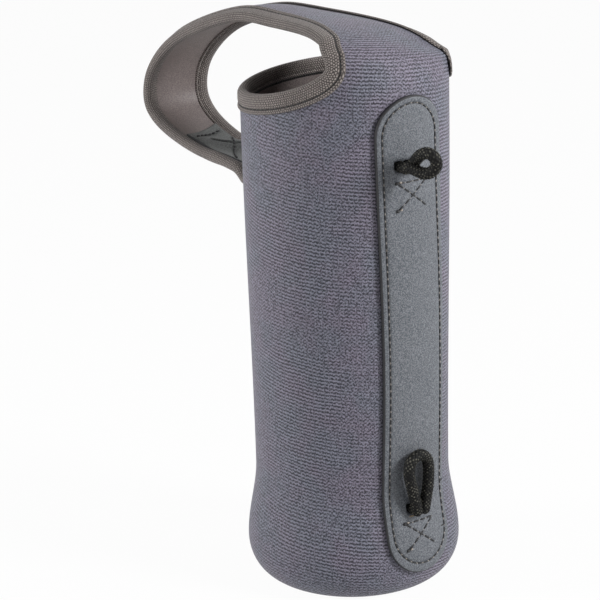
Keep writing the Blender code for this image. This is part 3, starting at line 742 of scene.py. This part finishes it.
# Rings of the cut edge and its rounding as (in from the outline, out from the wall) in millimetres
PATCH_BACK = ((14.3, 0.05), (7.0, 0.05), (1.2, 0.05), (0.2, 0.05))
PATCH_CUT = ((0.03, 0.2), (0.0, 0.6), (0.0, 1.1), (0.08, 1.4), (0.26, 1.62), (0.55, 1.76), (0.95, 1.83))
PATCH_RINGS = np.concatenate([np.arange(1.3, 4.8, 0.22), np.arange(5.0, 14.0, 0.7), [14.3]])
PATCH_COLUMNS = 170
END_COLUMNS = 44


def patch_turn(height):
    """Angle of the patch's middle line at this height, which drifts a little to the left at both ends."""
    climb = (height - PATCH_BOTTOM) / (PATCH_TOP - PATCH_BOTTOM)
    return eased(climb, DRIFT_SHARES, DRIFTS) / sleeve_radius(height)


def front_face(side, height, out):
    """Point this far to the right of the patch's middle line, at this height, this far out from the sheet."""
    side, height, out = np.broadcast_arrays(side, height, out)
    radius = sleeve_radius(height)
    points = turned_point(patch_turn(height) + side / radius, radius + out, height)
    lean = np.interp(height - SHOULDER_HEIGHT, LINE_LENGTHS, LINE[:, 0]) + MOUTH_RADIUS
    points[..., 1] += np.where(height > SHOULDER_HEIGHT, lean, 0)
    return points


def straight_out(side, height):
    """Level direction out of the sheet at a point of the patch."""
    turned = patch_turn(height) + side / sleeve_radius(height)
    return turned_point(turned, 1.0, np.zeros_like(turned))


def patch_outline(inset):
    """Side and height of the points round a stadium, drawn in by this much from the patch's outline."""
    low, high = PATCH_BOTTOM + PATCH_HALF_WIDTH, PATCH_TOP - PATCH_HALF_WIDTH
    climb = np.linspace(low, high, PATCH_COLUMNS)
    half_turn = np.linspace(0, math.pi, END_COLUMNS)[1:-1]
    foot = np.concatenate([climb, high + 0 * half_turn, climb[::-1], low + 0 * half_turn])
    turned = np.concatenate([0 * climb, half_turn, math.pi + 0 * climb, math.pi + half_turn])
    reach = PATCH_HALF_WIDTH - inset
    return np.cos(turned) * reach, foot + np.sin(turned) * reach


def seam_inset(side, height):
    """How far in from the outline the seam runs: a little farther at the bottom and at the top right."""
    at_foot = 1 - smooth((height - 13 * MM) / (15 * MM))
    top_right = smooth(side / (9 * MM)) * smooth((height - 110 * MM) / (60 * MM))
    return SEAM_INSET + SEAM_RISE * at_foot + SEAM_LEAN * top_right


def cross_lines(name):
    """The box of stitches under a slit: its top line and its two diagonals, as pairs of (side, height)."""
    left, right = CROSS_SIDES
    top, bottom = (SLITS[name] - drop for drop in CROSS_DROPS[name])
    return [((left, top), (right, top)), ((left, top), (right, bottom)), ((right, top), (left, bottom))]


def near_lines(side, height, lines):
    """Distance from each point to the nearest of these straight lines."""
    nearest = np.full(np.shape(side), 1.0)
    for (x, y), (to_x, to_y) in lines:
        run_x, run_y = to_x - x, to_y - y
        share = ((side - x) * run_x + (height - y) * run_y) / (run_x**2 + run_y**2)
        share = np.clip(share, 0, 1)
        nearest = np.minimum(nearest, np.hypot(side - x - share * run_x, height - y - share * run_y))
    return nearest


def bell(distance, rise, width):
    """A rounded form along a line, by the distance to the line: rise * exp(-(distance / width)^2)."""
    return rise * np.exp(-((distance / width) ** 2))


def patch_relief(side, height, inset):
    """Rise of the leather's face: a groove under each seam, soft swells, and a lip round each slit."""
    past_seam = inset - seam_inset(side, height)
    rise = bell(past_seam, *SEAM_GROOVE) + MIDDLE_SWELL * smooth(past_seam / (2.5 * MM))
    for name, slit in SLITS.items():
        rise = rise + bell(near_lines(side, height, cross_lines(name)), *CROSS_GROOVE)
        across_tail = smooth((TAIL_HALF_WIDTH - np.abs(side)) / (2.5 * MM))
        along_tail = smooth((height - slit + TAIL_REACH + 1.5 * MM) / (2.5 * MM)) * (height < slit)
        rise = rise + TAIL_SWELL * across_tail * along_tail
        from_slit_middle = np.abs(side - SLIT_MIDDLES[name])
        beyond_x = np.clip(from_slit_middle - SLIT_HALF_WIDTH, 0, None)
        beyond_y = np.clip(np.abs(height - slit) - SLIT_HALF_HEIGHT, 0, None)
        lip = bell(np.hypot(beyond_x, beyond_y), *SLIT_LIP)
        inside = (from_slit_middle < SLIT_HALF_WIDTH) & (np.abs(height - slit) < SLIT_HALF_HEIGHT)
        rise = rise + np.where(inside, -SLIT_DEPTH, lip)
    return rise


def leather_finish(name, dark, mid, pale, raw_under=None):
    """Slate-grey leather: fine pebbled grain, an uneven dye, and a pale raw line under the named slit."""
    leather = Finish(name, roughness=0.46, specular_ior_level=0.3)
    u, v = leather.flat()
    pebble = leather.grain(1500.0, 3.0, 0.65)
    dye = leather.stretch(leather.grain(60.0, 3.0, 0.6), 0.3, 0.7)
    speck = leather.stretch(leather.grain(2000.0, 2.0, 0.75), 0.40, 0.64)
    tone = leather.blend(dye, dark, mid)
    tone = leather.blend(speck * 0.8, tone, pale)
    if raw_under:
        below = (v - (SLITS[raw_under] - SLIT_HALF_HEIGHT - 0.7 * MM) / MM).size()
        along = (u - SLIT_MIDDLES[raw_under] / MM).size()
        raw = (1 - leather.stretch(below, 0.1, 0.3)) * (1 - leather.stretch(along, 3.0, 3.8))
        tone = leather.blend(raw, tone, RAW_TAN)
    leather.link(base_color=tone, normal=leather.relief(pebble + speck * 0.5, 0.2 * MM, 0.75))
    return leather


def cut_edge_finish():
    """The leather's cut edge, inked nearly black and a little rough."""
    edge = Finish("inked_edge", roughness=0.62)
    fibre = edge.grain(2200.0, 2.0, 0.6)
    ink = edge.blend(edge.stretch(fibre, 0.3, 0.7), (0.010, 0.010, 0.012), (0.026, 0.026, 0.030))
    edge.link(base_color=ink, normal=edge.relief(fibre, 0.2 * MM, 0.6))
    return edge


RAW_TAN = (0.36, 0.27, 0.15)
# Dark, middle and pale
SLATE_TONES = ((0.076, 0.086, 0.101), (0.096, 0.105, 0.120), (0.265, 0.277, 0.300))
LEATHER = leather_finish("slate_leather", *SLATE_TONES, raw_under="lower")
CUT_EDGE = cut_edge_finish()


def leather_patch():
    """Rings of the stadium from the middle of the back, round the cut edge, to the middle of the face."""
    edge = np.array(PATCH_BACK + PATCH_CUT) * MM
    insets = np.concatenate([edge[:, 0], PATCH_RINGS * MM])
    outs = np.concatenate([edge[:, 1], np.full(len(PATCH_RINGS), PATCH_FACE)])
    rings = [patch_outline(inset) for inset in insets]
    side = np.array([ring[0] for ring in rings])
    height = np.array([ring[1] for ring in rings])
    shown = smooth((outs - 1.2 * MM) / (0.6 * MM))[:, None]
    out = outs[:, None] + shown * patch_relief(side, height, insets[:, None])
    points = front_face(side, height, out)
    index = closed(numbered(points))
    flat = closed(np.stack([side, height], axis=-1)) / MM
    inked = np.arange(len(insets) - 1) < len(edge) - 2
    which = np.repeat(inked.astype(int), index.shape[1] - 1)
    finishes = [LEATHER, CUT_EDGE]
    piece = make_piece("leather_patch", points, cells(index), cells(flat), finishes, which, merge=0.005 * MM)
    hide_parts("front_patch")
    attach(piece, "case")


leather_patch()

# Thread: the patch's seam and the crossed stitches are a black bonded thread. Where a stitch dips into the
# leather, a fleck of the tan under-thread shows. Each cross has a knot at its two left corners, and just
# right of each knot a short tan stitch is a painted highlight on the knot.

THREAD = 0.56 * MM
UNDER_THREAD = 0.32 * MM
STITCH = 2.7 * MM
STITCH_GAP = 0.55 * MM
CROSS_THREAD = 0.78 * MM
CROSS_STITCH = 3.1 * MM
CROSS_GAP = 0.35 * MM
STITCH_ARCH = 0.14 * MM
UNDER_ARCH = 0.16 * MM
KNOT_ARCH = 0.1 * MM
THREAD_ROWS = 7
THREAD_SIDES = 6
# Two single stitches across the seam, as (side, height) of their ends
SEAM_BARS = (
    ((11.7 * MM, 42.0 * MM), (13.6 * MM, 42.4 * MM)),
    ((9.3 * MM, 25.5 * MM), (11.6 * MM, 25.6 * MM)),
)
# Shift from a cross's corner as (side, height), half length, and thickness
KNOT = ((-0.3 * MM, 0.0), 0.7 * MM, 1.25 * MM)
# Painted highlight: a short tan stitch just right of each knot stands for the light that glints on the knot
PAINTED_GLINT = ((1.1 * MM, 0.25 * MM), 0.6 * MM, 0.7 * MM)


def thread_finish(name, dark, pale, roughness):
    """Twisted thread: one fine noise makes both its relief and its colour, which is painted darker in the
    hollows as shade and paler on the tops as highlight.
    """
    thread = Finish(name, roughness=roughness)
    fibre = thread.grain(3800.0, 2.0, 0.6)
    # Painted shade and highlight: darker where the relief's noise is low, paler where it is high
    tone = thread.blend(thread.stretch(fibre, 0.35, 0.65), dark, pale)
    thread.link(base_color=tone, normal=thread.relief(fibre, 0.15 * MM, 0.6))
    return thread


BLACK_THREAD = thread_finish("black_thread", (0.006, 0.006, 0.007), (0.022, 0.022, 0.024), 0.45)
TAN_THREAD = thread_finish("tan_thread", (0.26, 0.22, 0.18), (0.52, 0.47, 0.42), 0.5)
PALE_THREAD = thread_finish("pale_thread", (0.17, 0.14, 0.13), (0.42, 0.37, 0.34), 0.5)


def dashes(path, outward, pitch, gap):
    """Starts and ends of even stitches along a path, and their directions out, read at their middles."""
    at = lengths_along(path)
    count = max(1, round(at[-1] / pitch))
    step = at[-1] / count
    first = np.arange(count) * step + gap / 2
    starts = read_along(path, at, first)
    ends = read_along(path, at, first + step - gap)
    return starts, ends, unit(read_along(outward, at, first + (step - gap) / 2))


def sew(name, starts, ends, outward, thickness, arch, finish, slot):
    """Short arched threads, each tapered to a point at both ends, where it goes into its hole.

    At share t the middle is start + (end - start) * t + out * arch * sin(pi t), and the radius is
    half the thickness * sqrt(1 - (2t - 1)^4).
    """
    share = np.linspace(0, 1, THREAD_ROWS)[None, :, None, None]
    turned = np.linspace(0, 2 * math.pi, THREAD_SIDES, endpoint=False)[None, None, :, None]
    run = (ends - starts)[:, None, None, :]
    out = outward[:, None, None, :]
    aside = unit(np.cross(run, out))
    radius = thickness / 2 * np.sqrt(np.clip(1 - (2 * share - 1) ** 4, 0, 1))
    middle = starts[:, None, None, :] + run * share + out * (arch * np.sin(math.pi * share))
    points = middle + radius * (aside * np.cos(turned) + out * np.sin(turned))
    index = numbered(points)
    index = np.concatenate([index, index[:, :, :1]], axis=2)
    corners = (index[:, :-1, :-1], index[:, :-1, 1:], index[:, 1:, 1:], index[:, 1:, :-1])
    faces = np.stack(corners, axis=-1).reshape(-1, 4)
    piece = make_piece(name, points, faces, None, [finish], merge=0.002 * MM)
    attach(piece, "case")


def patch_threads():
    """The seam round the patch, two bar stitches across it, and the crosses under the slits."""
    face = PATCH_FACE - 0.02 * MM
    # The seam's inset is read at an even inset first, because it varies with the place
    side, height = patch_outline(seam_inset(*patch_outline(SEAM_INSET)))
    seam = [(np.append(side, side[0]), np.append(height, height[0]))]
    lines = [line for name in SLITS for line in cross_lines(name)]
    crosses = [np.linspace(start, end, 9).T for start, end in lines]
    for name, runs, thickness, pitch, gap, lift in (
        ("patch_seam", seam, THREAD, STITCH, STITCH_GAP, -0.1 * MM),
        ("patch_crosses", crosses, CROSS_THREAD, CROSS_STITCH, CROSS_GAP, 0.02 * MM),
    ):
        sewn = []
        under = []
        for side, height in runs:
            path = front_face(side, height, face + lift)
            outward = straight_out(side, height)
            sewn.append(dashes(path, outward, pitch, gap))
            at = lengths_along(path)
            count = max(1, round(at[-1] / pitch))
            holes = np.arange(count) * at[-1] / count
            under.append([read_along(path, at, holes - gap * 0.8), read_along(path, at, holes + gap * 0.8)])
            under[-1].append(unit(read_along(outward, at, holes)))
        if name == "patch_seam":
            for bar in SEAM_BARS:
                ends = [front_face(*place, face)[None] for place in bar]
                sewn.append((*ends, straight_out(*bar[0])[None]))
        starts, ends, outward = (np.concatenate(parts) for parts in zip(*sewn))
        sew(name, starts, ends, outward, thickness, STITCH_ARCH, BLACK_THREAD, "leather")
        starts, ends, outward = (np.concatenate(parts) for parts in zip(*under))
        sew(name + "_under", starts, ends, outward, UNDER_THREAD, UNDER_ARCH, TAN_THREAD, "leather")
    corners = np.array([(CROSS_SIDES[0], SLITS[name] - drop) for name in SLITS for drop in CROSS_DROPS[name]])
    for name, (shift, reach, thickness), finish in (
        ("patch_knots", KNOT, BLACK_THREAD),
        ("patch_painted_glints", PAINTED_GLINT, TAN_THREAD),
    ):
        side, height = (corners + shift).T
        starts, ends = (front_face(side + sign * reach, height, face + 0.15 * MM) for sign in (-1, 1))
        sew(name, starts, ends, straight_out(side, height), thickness, KNOT_ARCH, finish, "leather")


patch_threads()

# Tape seams: two rows of the same stitch hold the tape's hems, black outside and pale inside the mouth
# and under the handle.

# Pitch, gap and thickness of each row's stitches, and its place as (out of the face, past the edge)
OUTER_STITCH = (2.5 * MM, 0.6 * MM, 0.5 * MM)
INNER_STITCH = (2.9 * MM, 2.2 * MM, 0.4 * MM)
OUTER_SEAM = (0.40 * MM, -3.4 * MM)
INNER_SEAM = (-FOAM - 0.42 * MM, -2.35 * MM)
TAPE_ARCH = 0.10 * MM


def tape_threads():
    """Stitches in the grooves of the folded tape, outside and inside."""
    for name, (out, past), sign, finish, (pitch, gap, thickness) in (
        ("tape_stitches_outside", OUTER_SEAM, 1, BLACK_THREAD, OUTER_STITCH),
        ("tape_stitches_inside", INNER_SEAM, -1, PALE_THREAD, INNER_STITCH),
    ):
        path = EDGE + EDGE_OUT * out + EDGE_LEAVING * past
        starts, ends, outward = dashes(path, EDGE_OUT * sign, pitch, gap)
        sew(name, starts, ends, outward, thickness, TAPE_ARCH, finish, "edge_tape")


tape_threads()

# Cord loops: round black braid, one loop high and one low. Some of its cells carry olive-grey flecks, painted
# brightest on each cell's crown and black at its edges as painted highlight and painted shade. Each comes out
# of its slit as two strands, and swings about them.

CORD = 4.5 * MM
HINGE_OUT = 4.45 * MM
# Middle line of each loop from one strand's root to the other's, as (right, out from the sheet, up) from
# its slit in millimetres, and the level way that its plane faces
LOOPS = {
    "upper": (
        ((-5.6, 4.45, 0.0), (-5.4, 6.0, 0.6), (-5.0, 8.2, 0.4), (-4.6, 11.5, -0.2), (-3.8, 14.7, 0.0),
         (-3.0, 16.9, 1.5), (-2.6, 17.9, 3.8), (-3.4, 17.7, 6.2), (-4.2, 16.0, 7.4), (-4.6, 13.0, 6.9),
         (-4.2, 9.8, 4.9), (-3.6, 7.0, 2.6), (-2.8, 5.4, 0.9), (-2.2, 4.45, 0.0)),
        (1.0, 0.25, 0.0),
    ),
    "lower": (
        ((-3.3, 4.45, 0.0), (-4.3, 4.9, 3.6), (-5.4, 5.0, 7.2), (-6.7, 4.9, 12.1), (-7.3, 4.8, 16.0),
         (-6.8, 4.8, 19.2), (-5.0, 4.8, 21.3), (-1.8, 4.8, 22.0), (1.0, 4.8, 20.2), (2.1, 4.8, 17.0),
         (2.2, 4.7, 13.0), (1.9, 4.6, 8.6), (1.1, 4.5, 4.2), (0.3, 4.45, 0.0)),
        (0.1, 1.0, 0.0),
    ),
}
TAIL_THICKNESS_SHARE = 0.2
BRAID_STRANDS = 9
BRAID_LEAD = 1.4 * MM
BRAID_DEPTH = 0.42 * MM
CORD_STEP = 0.2 * MM
CORD_COLUMNS = 66
CORD_MERGE = 0.004 * MM
LOOP_ROWS = 400
ROOT_ROWS = 24
# A root starts this far out from the sheet, stops this far short of the loop, and is this much
# thinner. The tail runs between these heights from the slit
ROOT_START = -0.4 * MM
ROOT_GAP = 0.05 * MM
ROOT_SLIMMER = 0.1 * MM
TAIL_TOP = 1.0 * MM
TAIL_FOOT = 4.0 * MM - TAIL_REACH
BRAID_DARK = (0.0035, 0.0035, 0.0035)
BRAID_OLIVE_SHINE = (0.135, 0.130, 0.106)


def from_slit(name, points):
    """Places of points given as (right, out, up) from the slit's middle on the face of the sheet."""
    slit = SLITS[name]
    turned = float(patch_turn(slit))
    right = (math.cos(turned), math.sin(turned), 0)
    out = (math.sin(turned), -math.cos(turned), 0)
    return points @ np.array([right, out, (0, 0, 1)]) + turned_point(turned, float(sleeve_radius(slit)), slit)


def braid(line, normal, radius):
    """Braided tube about a line, rounded at both ends. Two families of strands pass over each other in turn.

    At angle a and distance s the strands' counts are p = n a / 2 pi + s / lead and q = n a / 2 pi - s / lead.
    Whichever strand is on top, by whether floor p + floor q is even, is an arch across its own width.
    """
    at = lengths_along(line)
    steps = max(12, round((at[-1] + CORD) / CORD_STEP))
    s = np.linspace(-radius, at[-1] + radius, steps)
    middle = read_along(line, at, s)
    along = unit(np.gradient(line, at, axis=0))
    along = unit(read_along(along, at, s))
    beyond = np.where(s < 0, s, np.clip(s - at[-1], 0, None))
    middle = middle + along * beyond[:, None]
    aside = read_along(normal, at, s)
    aside = unit(aside - along * np.sum(along * aside, axis=1, keepdims=True))
    other = np.cross(along, aside)
    share = np.sqrt(np.clip(1 - (beyond / radius) ** 2, 0, 1))
    turned = np.linspace(0, 2 * math.pi, CORD_COLUMNS + 1)
    count = turned[None, :] * BRAID_STRANDS / (2 * math.pi)
    p, q = count + s[:, None] / BRAID_LEAD, count - s[:, None] / BRAID_LEAD
    over_p = (np.floor(p) + np.floor(q)) % 2 < 1
    cross_p, cross_q = np.sin(math.pi * (p % 1)), np.sin(math.pi * (q % 1))
    first, second = np.where(over_p, cross_p, cross_q), np.where(over_p, cross_q, cross_p)
    crown = first**0.7 * (0.35 + 0.65 * second**0.6)
    size = share[:, None] * (radius - BRAID_DEPTH * (1 - crown))
    points = middle[:, None] + size[..., None] * (
        aside[:, None] * np.cos(turned)[None, :, None] + other[:, None] * np.sin(turned)[None, :, None]
    )
    return points, numbered(points), np.stack([p, q], axis=-1)


def cord_finish():
    """Black polyester braid. Fine fibres run along each of its stitches, and on some stitches an olive grey
    is painted, brightest at the stitch's crown and black at its edges: painted highlight and painted shade.
    """
    cord = Finish("black_braid", roughness=0.5, specular_ior_level=0.16)
    p, q = cord.flat()
    column, row = p.floor(), q.floor()
    parity = ((column + row) * 0.5).fraction() * 2
    across_p, across_q = p - column, q - row
    arch = (across_p * math.pi).sine() * (across_q * math.pi).sine()
    run = across_p * parity + across_q * (1 - parity)
    fibres = (run * (2 * math.pi * 3.5)).sine() * 0.5 + 0.5
    cell = cord.node("CombineXYZ", {}, {0: column, 1: row})
    luck = cord.node("TexWhiteNoise", {"noise_dimensions": "2D"}, {"Vector": cell})
    # Painted highlight and shade: olive grey on the crowns of some cells, fading to black at every cell's
    # edges
    fleck_and_crown_highlight = cord.stretch(arch * (luck + 0.25) + fibres * 0.15, 0.5, 1.3)
    relief = cord.relief(fibres * 0.5 + cord.grain(3000.0) * 0.5, 0.12 * MM, 0.5)
    cord.link(base_color=cord.blend(fleck_and_crown_highlight, BRAID_DARK, BRAID_OLIVE_SHINE), normal=relief)
    return cord


BRAID = cord_finish()


def cord_loops():
    """Each loop is the braid about a smooth line through its points."""
    for name, (middle, facing) in LOOPS.items():
        line = smooth_line(np.array(middle) * MM, 40)
        at = lengths_along(line)
        line = read_along(line, at, np.linspace(0, at[-1], LOOP_ROWS))
        points, index, flat = braid(line, np.broadcast_to(facing, line.shape), CORD / 2)
        points = from_slit(name, points)
        piece = make_piece(name + "_loop_cord", points, cells(index), cells(flat), [BRAID], merge=CORD_MERGE)
        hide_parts(name + "_cord_loop")
        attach(piece, name + "_loop")


def cord_roots():
    """Two strands out through each slit, up to the loop, and their flat tail in the foam behind."""
    root_end = HINGE_OUT - CORD / 2 - ROOT_GAP
    for name in SLITS:
        middle = LOOPS[name][0]
        parts = []
        for root in (middle[0][0] * MM, middle[-1][0] * MM):
            line = np.linspace((root, ROOT_START, 0), (root, root_end, 0), ROOT_ROWS)
            parts.append(braid(line, np.broadcast_to((0.0, 0.0, 1.0), line.shape), CORD / 2 - ROOT_SLIMMER))
        line = np.linspace((0, -FOAM / 2, TAIL_TOP), (0, -FOAM / 2, TAIL_FOOT), ROOT_ROWS)
        points, index, flat = braid(line, np.broadcast_to((1.0, 0.0, 0.0), line.shape), CORD)
        points[..., 1] = -FOAM / 2 + (points[..., 1] + FOAM / 2) * TAIL_THICKNESS_SHARE
        parts.append((points, index, flat))
        firsts = np.cumsum([0] + [part[1].size for part in parts])
        points = from_slit(name, np.concatenate([part[0].reshape(-1, 3) for part in parts]))
        faces = np.concatenate([cells(part[1]) + first for first, part in zip(firsts, parts)])
        flat = np.concatenate([cells(part[2]) for part in parts])
        piece = make_piece(name + "_cord_roots", points, faces, flat, [BRAID], merge=CORD_MERGE)
        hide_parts(name + "_cord_tail")
        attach(piece, "case")


cord_loops()
cord_roots()

# End patch: a thinner piece of the same leather inside the handle's sewn end, where it guards the
# lining. The stitches that hold the handle pucker it into two lobes with a crease between them.

END_LEATHER = 1.1 * MM
END_LIFT = 0.05 * MM
END_PATCH_LENGTH = 66.5 * MM
END_PATCH_SKEW = 3.6 * MM
# The patch's share of the strap's width
END_PATCH_COVER = 0.69
END_PATCH_HALF_WIDTH = 9.4 * MM
# The crease as two points of (side, distance before the handle's end), then the rise and width of
# the lobes, of the crease and of the groove under a seam
CREASE = ((-3.2 * MM, 50.5 * MM), (8.2 * MM, 44.0 * MM))
LOBES = (2.2 * MM, 5.5 * MM)
CREASE_FOLD = (-2.6 * MM, 0.9 * MM)
END_GROOVE = (-0.3 * MM, 0.8 * MM)
# Seams of the end patch as pairs of (side, distance before the handle's end)
END_SEAMS = (
    ((-7.2 * MM, 56.0 * MM), (7.6 * MM, 61.0 * MM)),
    ((8.6 * MM, 54.0 * MM), (-8.4 * MM, 27.0 * MM)),
    ((-7.8 * MM, 2.2 * MM), (7.8 * MM, 2.2 * MM)),
    ((-7.8 * MM, 7.0 * MM), (7.8 * MM, 7.0 * MM)),
)
END_ARCH = 0.25 * MM
END_UNDER_ARCH = 0.2 * MM
END_UNDER_STITCH = 0.8 * MM
# In from an edge of the leather, its thickness there, and where its even part starts
BORDER = np.array([0, 0, 0.12, 0.45, 1.0]) * MM
ROUNDING = np.array([0, 0.55, 0.9, 1.05, 1.1]) * MM
BORDER_REACH = 1.5 * MM
END_ROWS = 150
END_WIDTH = 44
# The strap's inside is read from a grid of this many rows and columns, which reaches past the patch
READ_ROWS = 220
READ_COLUMNS = 41
READ_REACH = END_PATCH_LENGTH + 4 * MM


def end_face(side_share, before_end, depth):
    """Points inside the handle and their inward directions, by the share across, the distance before the sewn
    end and the depth under the outside face.

    The share runs from -1 to 1 over the patch. Each point is a blend of the four of the grid round it.
    """
    before = np.linspace(READ_REACH, 0, READ_ROWS)
    rows = handle_points(HANDLE_LENGTH - before, np.linspace(-1, 1, READ_COLUMNS) * END_PATCH_COVER)
    row = (READ_REACH - before_end) / READ_REACH * (READ_ROWS - 1)
    column = (side_share + 1) / 2 * (READ_COLUMNS - 1)
    low_row = np.clip(row.astype(int), 0, READ_ROWS - 2)
    low_column = np.clip(column.astype(int), 0, READ_COLUMNS - 2)
    up, over = (row - low_row)[..., None], (column - low_column)[..., None]

    def read(grid):
        first = grid[low_row, low_column] * (1 - over) + grid[low_row, low_column + 1] * over
        second = grid[low_row + 1, low_column] * (1 - over) + grid[low_row + 1, low_column + 1] * over
        return first * (1 - up) + second * up

    outward = unit(read(facing_out(rows)))
    return read(rows) - outward * depth[..., None], -outward


# Painted shade: the same slate leather as the patch on the front, with its tones set darker because it lies
# in shade inside the handle
END_SHADED_TONES = ((0.062, 0.067, 0.067), (0.086, 0.093, 0.091), (0.210, 0.220, 0.215))
END_SHADED_SLATE = leather_finish("end_slate_leather_shaded", *END_SHADED_TONES)


def end_swell(side, before_end):
    """Rise of the two lobes: a broad bell of the distance to the crease, less a narrow deep one."""
    to_crease = near_lines(side, before_end, [CREASE])
    return bell(to_crease, *LOBES) + bell(to_crease, *CREASE_FOLD)


def bordered(length, count):
    """Places from edge to edge over this length, crowded at both edges, and the leather's thickness there."""
    inner = np.linspace(BORDER_REACH, length - BORDER_REACH, count)
    places = np.concatenate([BORDER, inner, length - BORDER[::-1]])
    return places, np.concatenate([ROUNDING, np.full(count, END_LEATHER), ROUNDING[::-1]])


def end_patch():
    """A face and a back over one outline. The face swells beside its crease and rounds at its edges."""
    from_left, across_rise = bordered(2 * END_PATCH_HALF_WIDTH, END_WIDTH)
    side = from_left - END_PATCH_HALF_WIDTH
    length = END_PATCH_LENGTH - 0.4 * MM
    from_top, along_rise = bordered(length, END_ROWS)
    skew = END_PATCH_SKEW * (1 - side / END_PATCH_HALF_WIDTH)[None, :] * (1 - from_top / length)[:, None]
    before_end = END_PATCH_LENGTH - from_top[:, None] - skew
    side_share = np.broadcast_to(side / END_PATCH_HALF_WIDTH, before_end.shape)
    rise = np.minimum(across_rise[None, :], along_rise[:, None])
    side_place = side_share * END_PATCH_HALF_WIDTH
    to_seam = near_lines(side_place, before_end, END_SEAMS)
    swell = end_swell(side_place, before_end) + bell(to_seam, *END_GROOVE)
    face_rise = rise + swell * smooth((rise - 0.5 * MM) / (0.6 * MM))
    face = end_face(side_share, before_end, FOAM + END_LIFT + face_rise)[0]
    back = end_face(side_share, before_end, np.full(rise.shape, FOAM + END_LIFT))[0]
    index = numbered(face)
    flat = np.stack([side_place, before_end], axis=-1) / MM
    points = np.concatenate([face.reshape(-1, 3), back.reshape(-1, 3)])
    faces = np.concatenate([cells(index), cells(index[::-1]) + rise.size])
    corners = np.concatenate([cells(flat), cells(flat[::-1])])
    rim = np.zeros((len(from_top) - 1, len(side) - 1), int)
    rim[:2] = rim[-2:] = 1
    rim[:, :2] = rim[:, -2:] = 1
    which = np.tile(rim.ravel(), 2)
    finishes = [END_SHADED_SLATE, CUT_EDGE]
    piece = make_piece("end_patch_leather", points, faces, corners, finishes, which, merge=0.005 * MM)
    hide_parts("handle_end_patch")
    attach(piece, "case")


def end_threads():
    """A seam under the top edge, one that slants over the lobes, and two across the lap on the wall."""
    for count, ((side, before), (to_side, to_before)) in enumerate(END_SEAMS):
        share = np.linspace(0, 1, 30)
        sides = side + (to_side - side) * share
        befores = before + (to_before - before) * share
        depth = FOAM + END_LEATHER + END_LIFT + np.clip(end_swell(sides, befores), 0, None)
        path, inward = end_face(sides / END_PATCH_HALF_WIDTH, befores, depth)
        name = f"end_stitches_{count}"
        sew(name, *dashes(path, inward, STITCH, STITCH_GAP), CROSS_THREAD, END_ARCH, BLACK_THREAD, "leather")
        under = dashes(path, inward, STITCH, STITCH - END_UNDER_STITCH)
        sew(name + "_under", *under, UNDER_THREAD, END_UNDER_ARCH, TAN_THREAD, "leather")


end_patch()
end_threads()

# Base disc: the round foam bottom that the flask stands on, faced like the wall and sewn to it edge to
# edge with an overcast black thread.

# The edge from the bottom face to the top face as (radius, height) in millimetres
DISC_EDGE = ((26.9, 0), (27.35, 0.07), (27.62, 0.32),
             (27.68, 0.9), (27.68, 1.6), (27.62, 2.18), (27.35, 2.43))
DISC_RINGS = 12
DISC_COLUMNS = 128
# The stitches across the seam round the disc: their count, lean, half length and height
BASE_STITCHES = 90
BASE_LEAN = 0.02
BASE_HALF_STITCH = 0.7 * MM
BASE_SEAM_HEIGHT = 0.25 * MM
BASE_THREAD = 0.36 * MM
BASE_ARCH = 0.06 * MM


def base_disc():
    """A profile turned about the axis: bottom, rounded edge and top. Its ribs run straight across it."""
    edge_radius = DISC_EDGE[0][0]
    bottom = [(radius, 0.0) for radius in np.linspace(0, edge_radius - 0.5, DISC_RINGS)]
    top = [(radius, FOAM / MM) for radius in np.linspace(edge_radius, 0, DISC_RINGS)]
    profile = np.array(bottom + list(DISC_EDGE) + top) * MM
    angles = np.linspace(0, 2 * math.pi, DISC_COLUMNS + 1)
    points = turned_point(angles[None, :], profile[:, :1], profile[:, 1:])
    flat = points[..., :2] / MM
    lined = np.arange(len(profile) - 1) > DISC_RINGS + len(DISC_EDGE) - 3
    which = np.repeat(lined.astype(int), DISC_COLUMNS)
    faces = cells(numbered(points))
    finishes = [knit_finish(), lining_finish()]
    piece = make_piece("base_disc_foam", points, faces, cells(flat), finishes, which, merge=0.005 * MM)
    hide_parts("base_disc")
    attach(piece, "case")
    turns = np.arange(BASE_STITCHES) * 2 * math.pi / BASE_STITCHES
    seam_radius = BASE_RADIUS - FIT_GAP / 2
    starts = turned_point(turns, seam_radius - BASE_HALF_STITCH, BASE_SEAM_HEIGHT)
    ends = turned_point(turns + BASE_LEAN, seam_radius + BASE_HALF_STITCH, BASE_SEAM_HEIGHT)
    down = np.broadcast_to([0.0, 0.0, -1.0], starts.shape)
    sew("base_stitches", starts, ends, down, BASE_THREAD, BASE_ARCH, BLACK_THREAD, "foam_sheet")


base_disc()
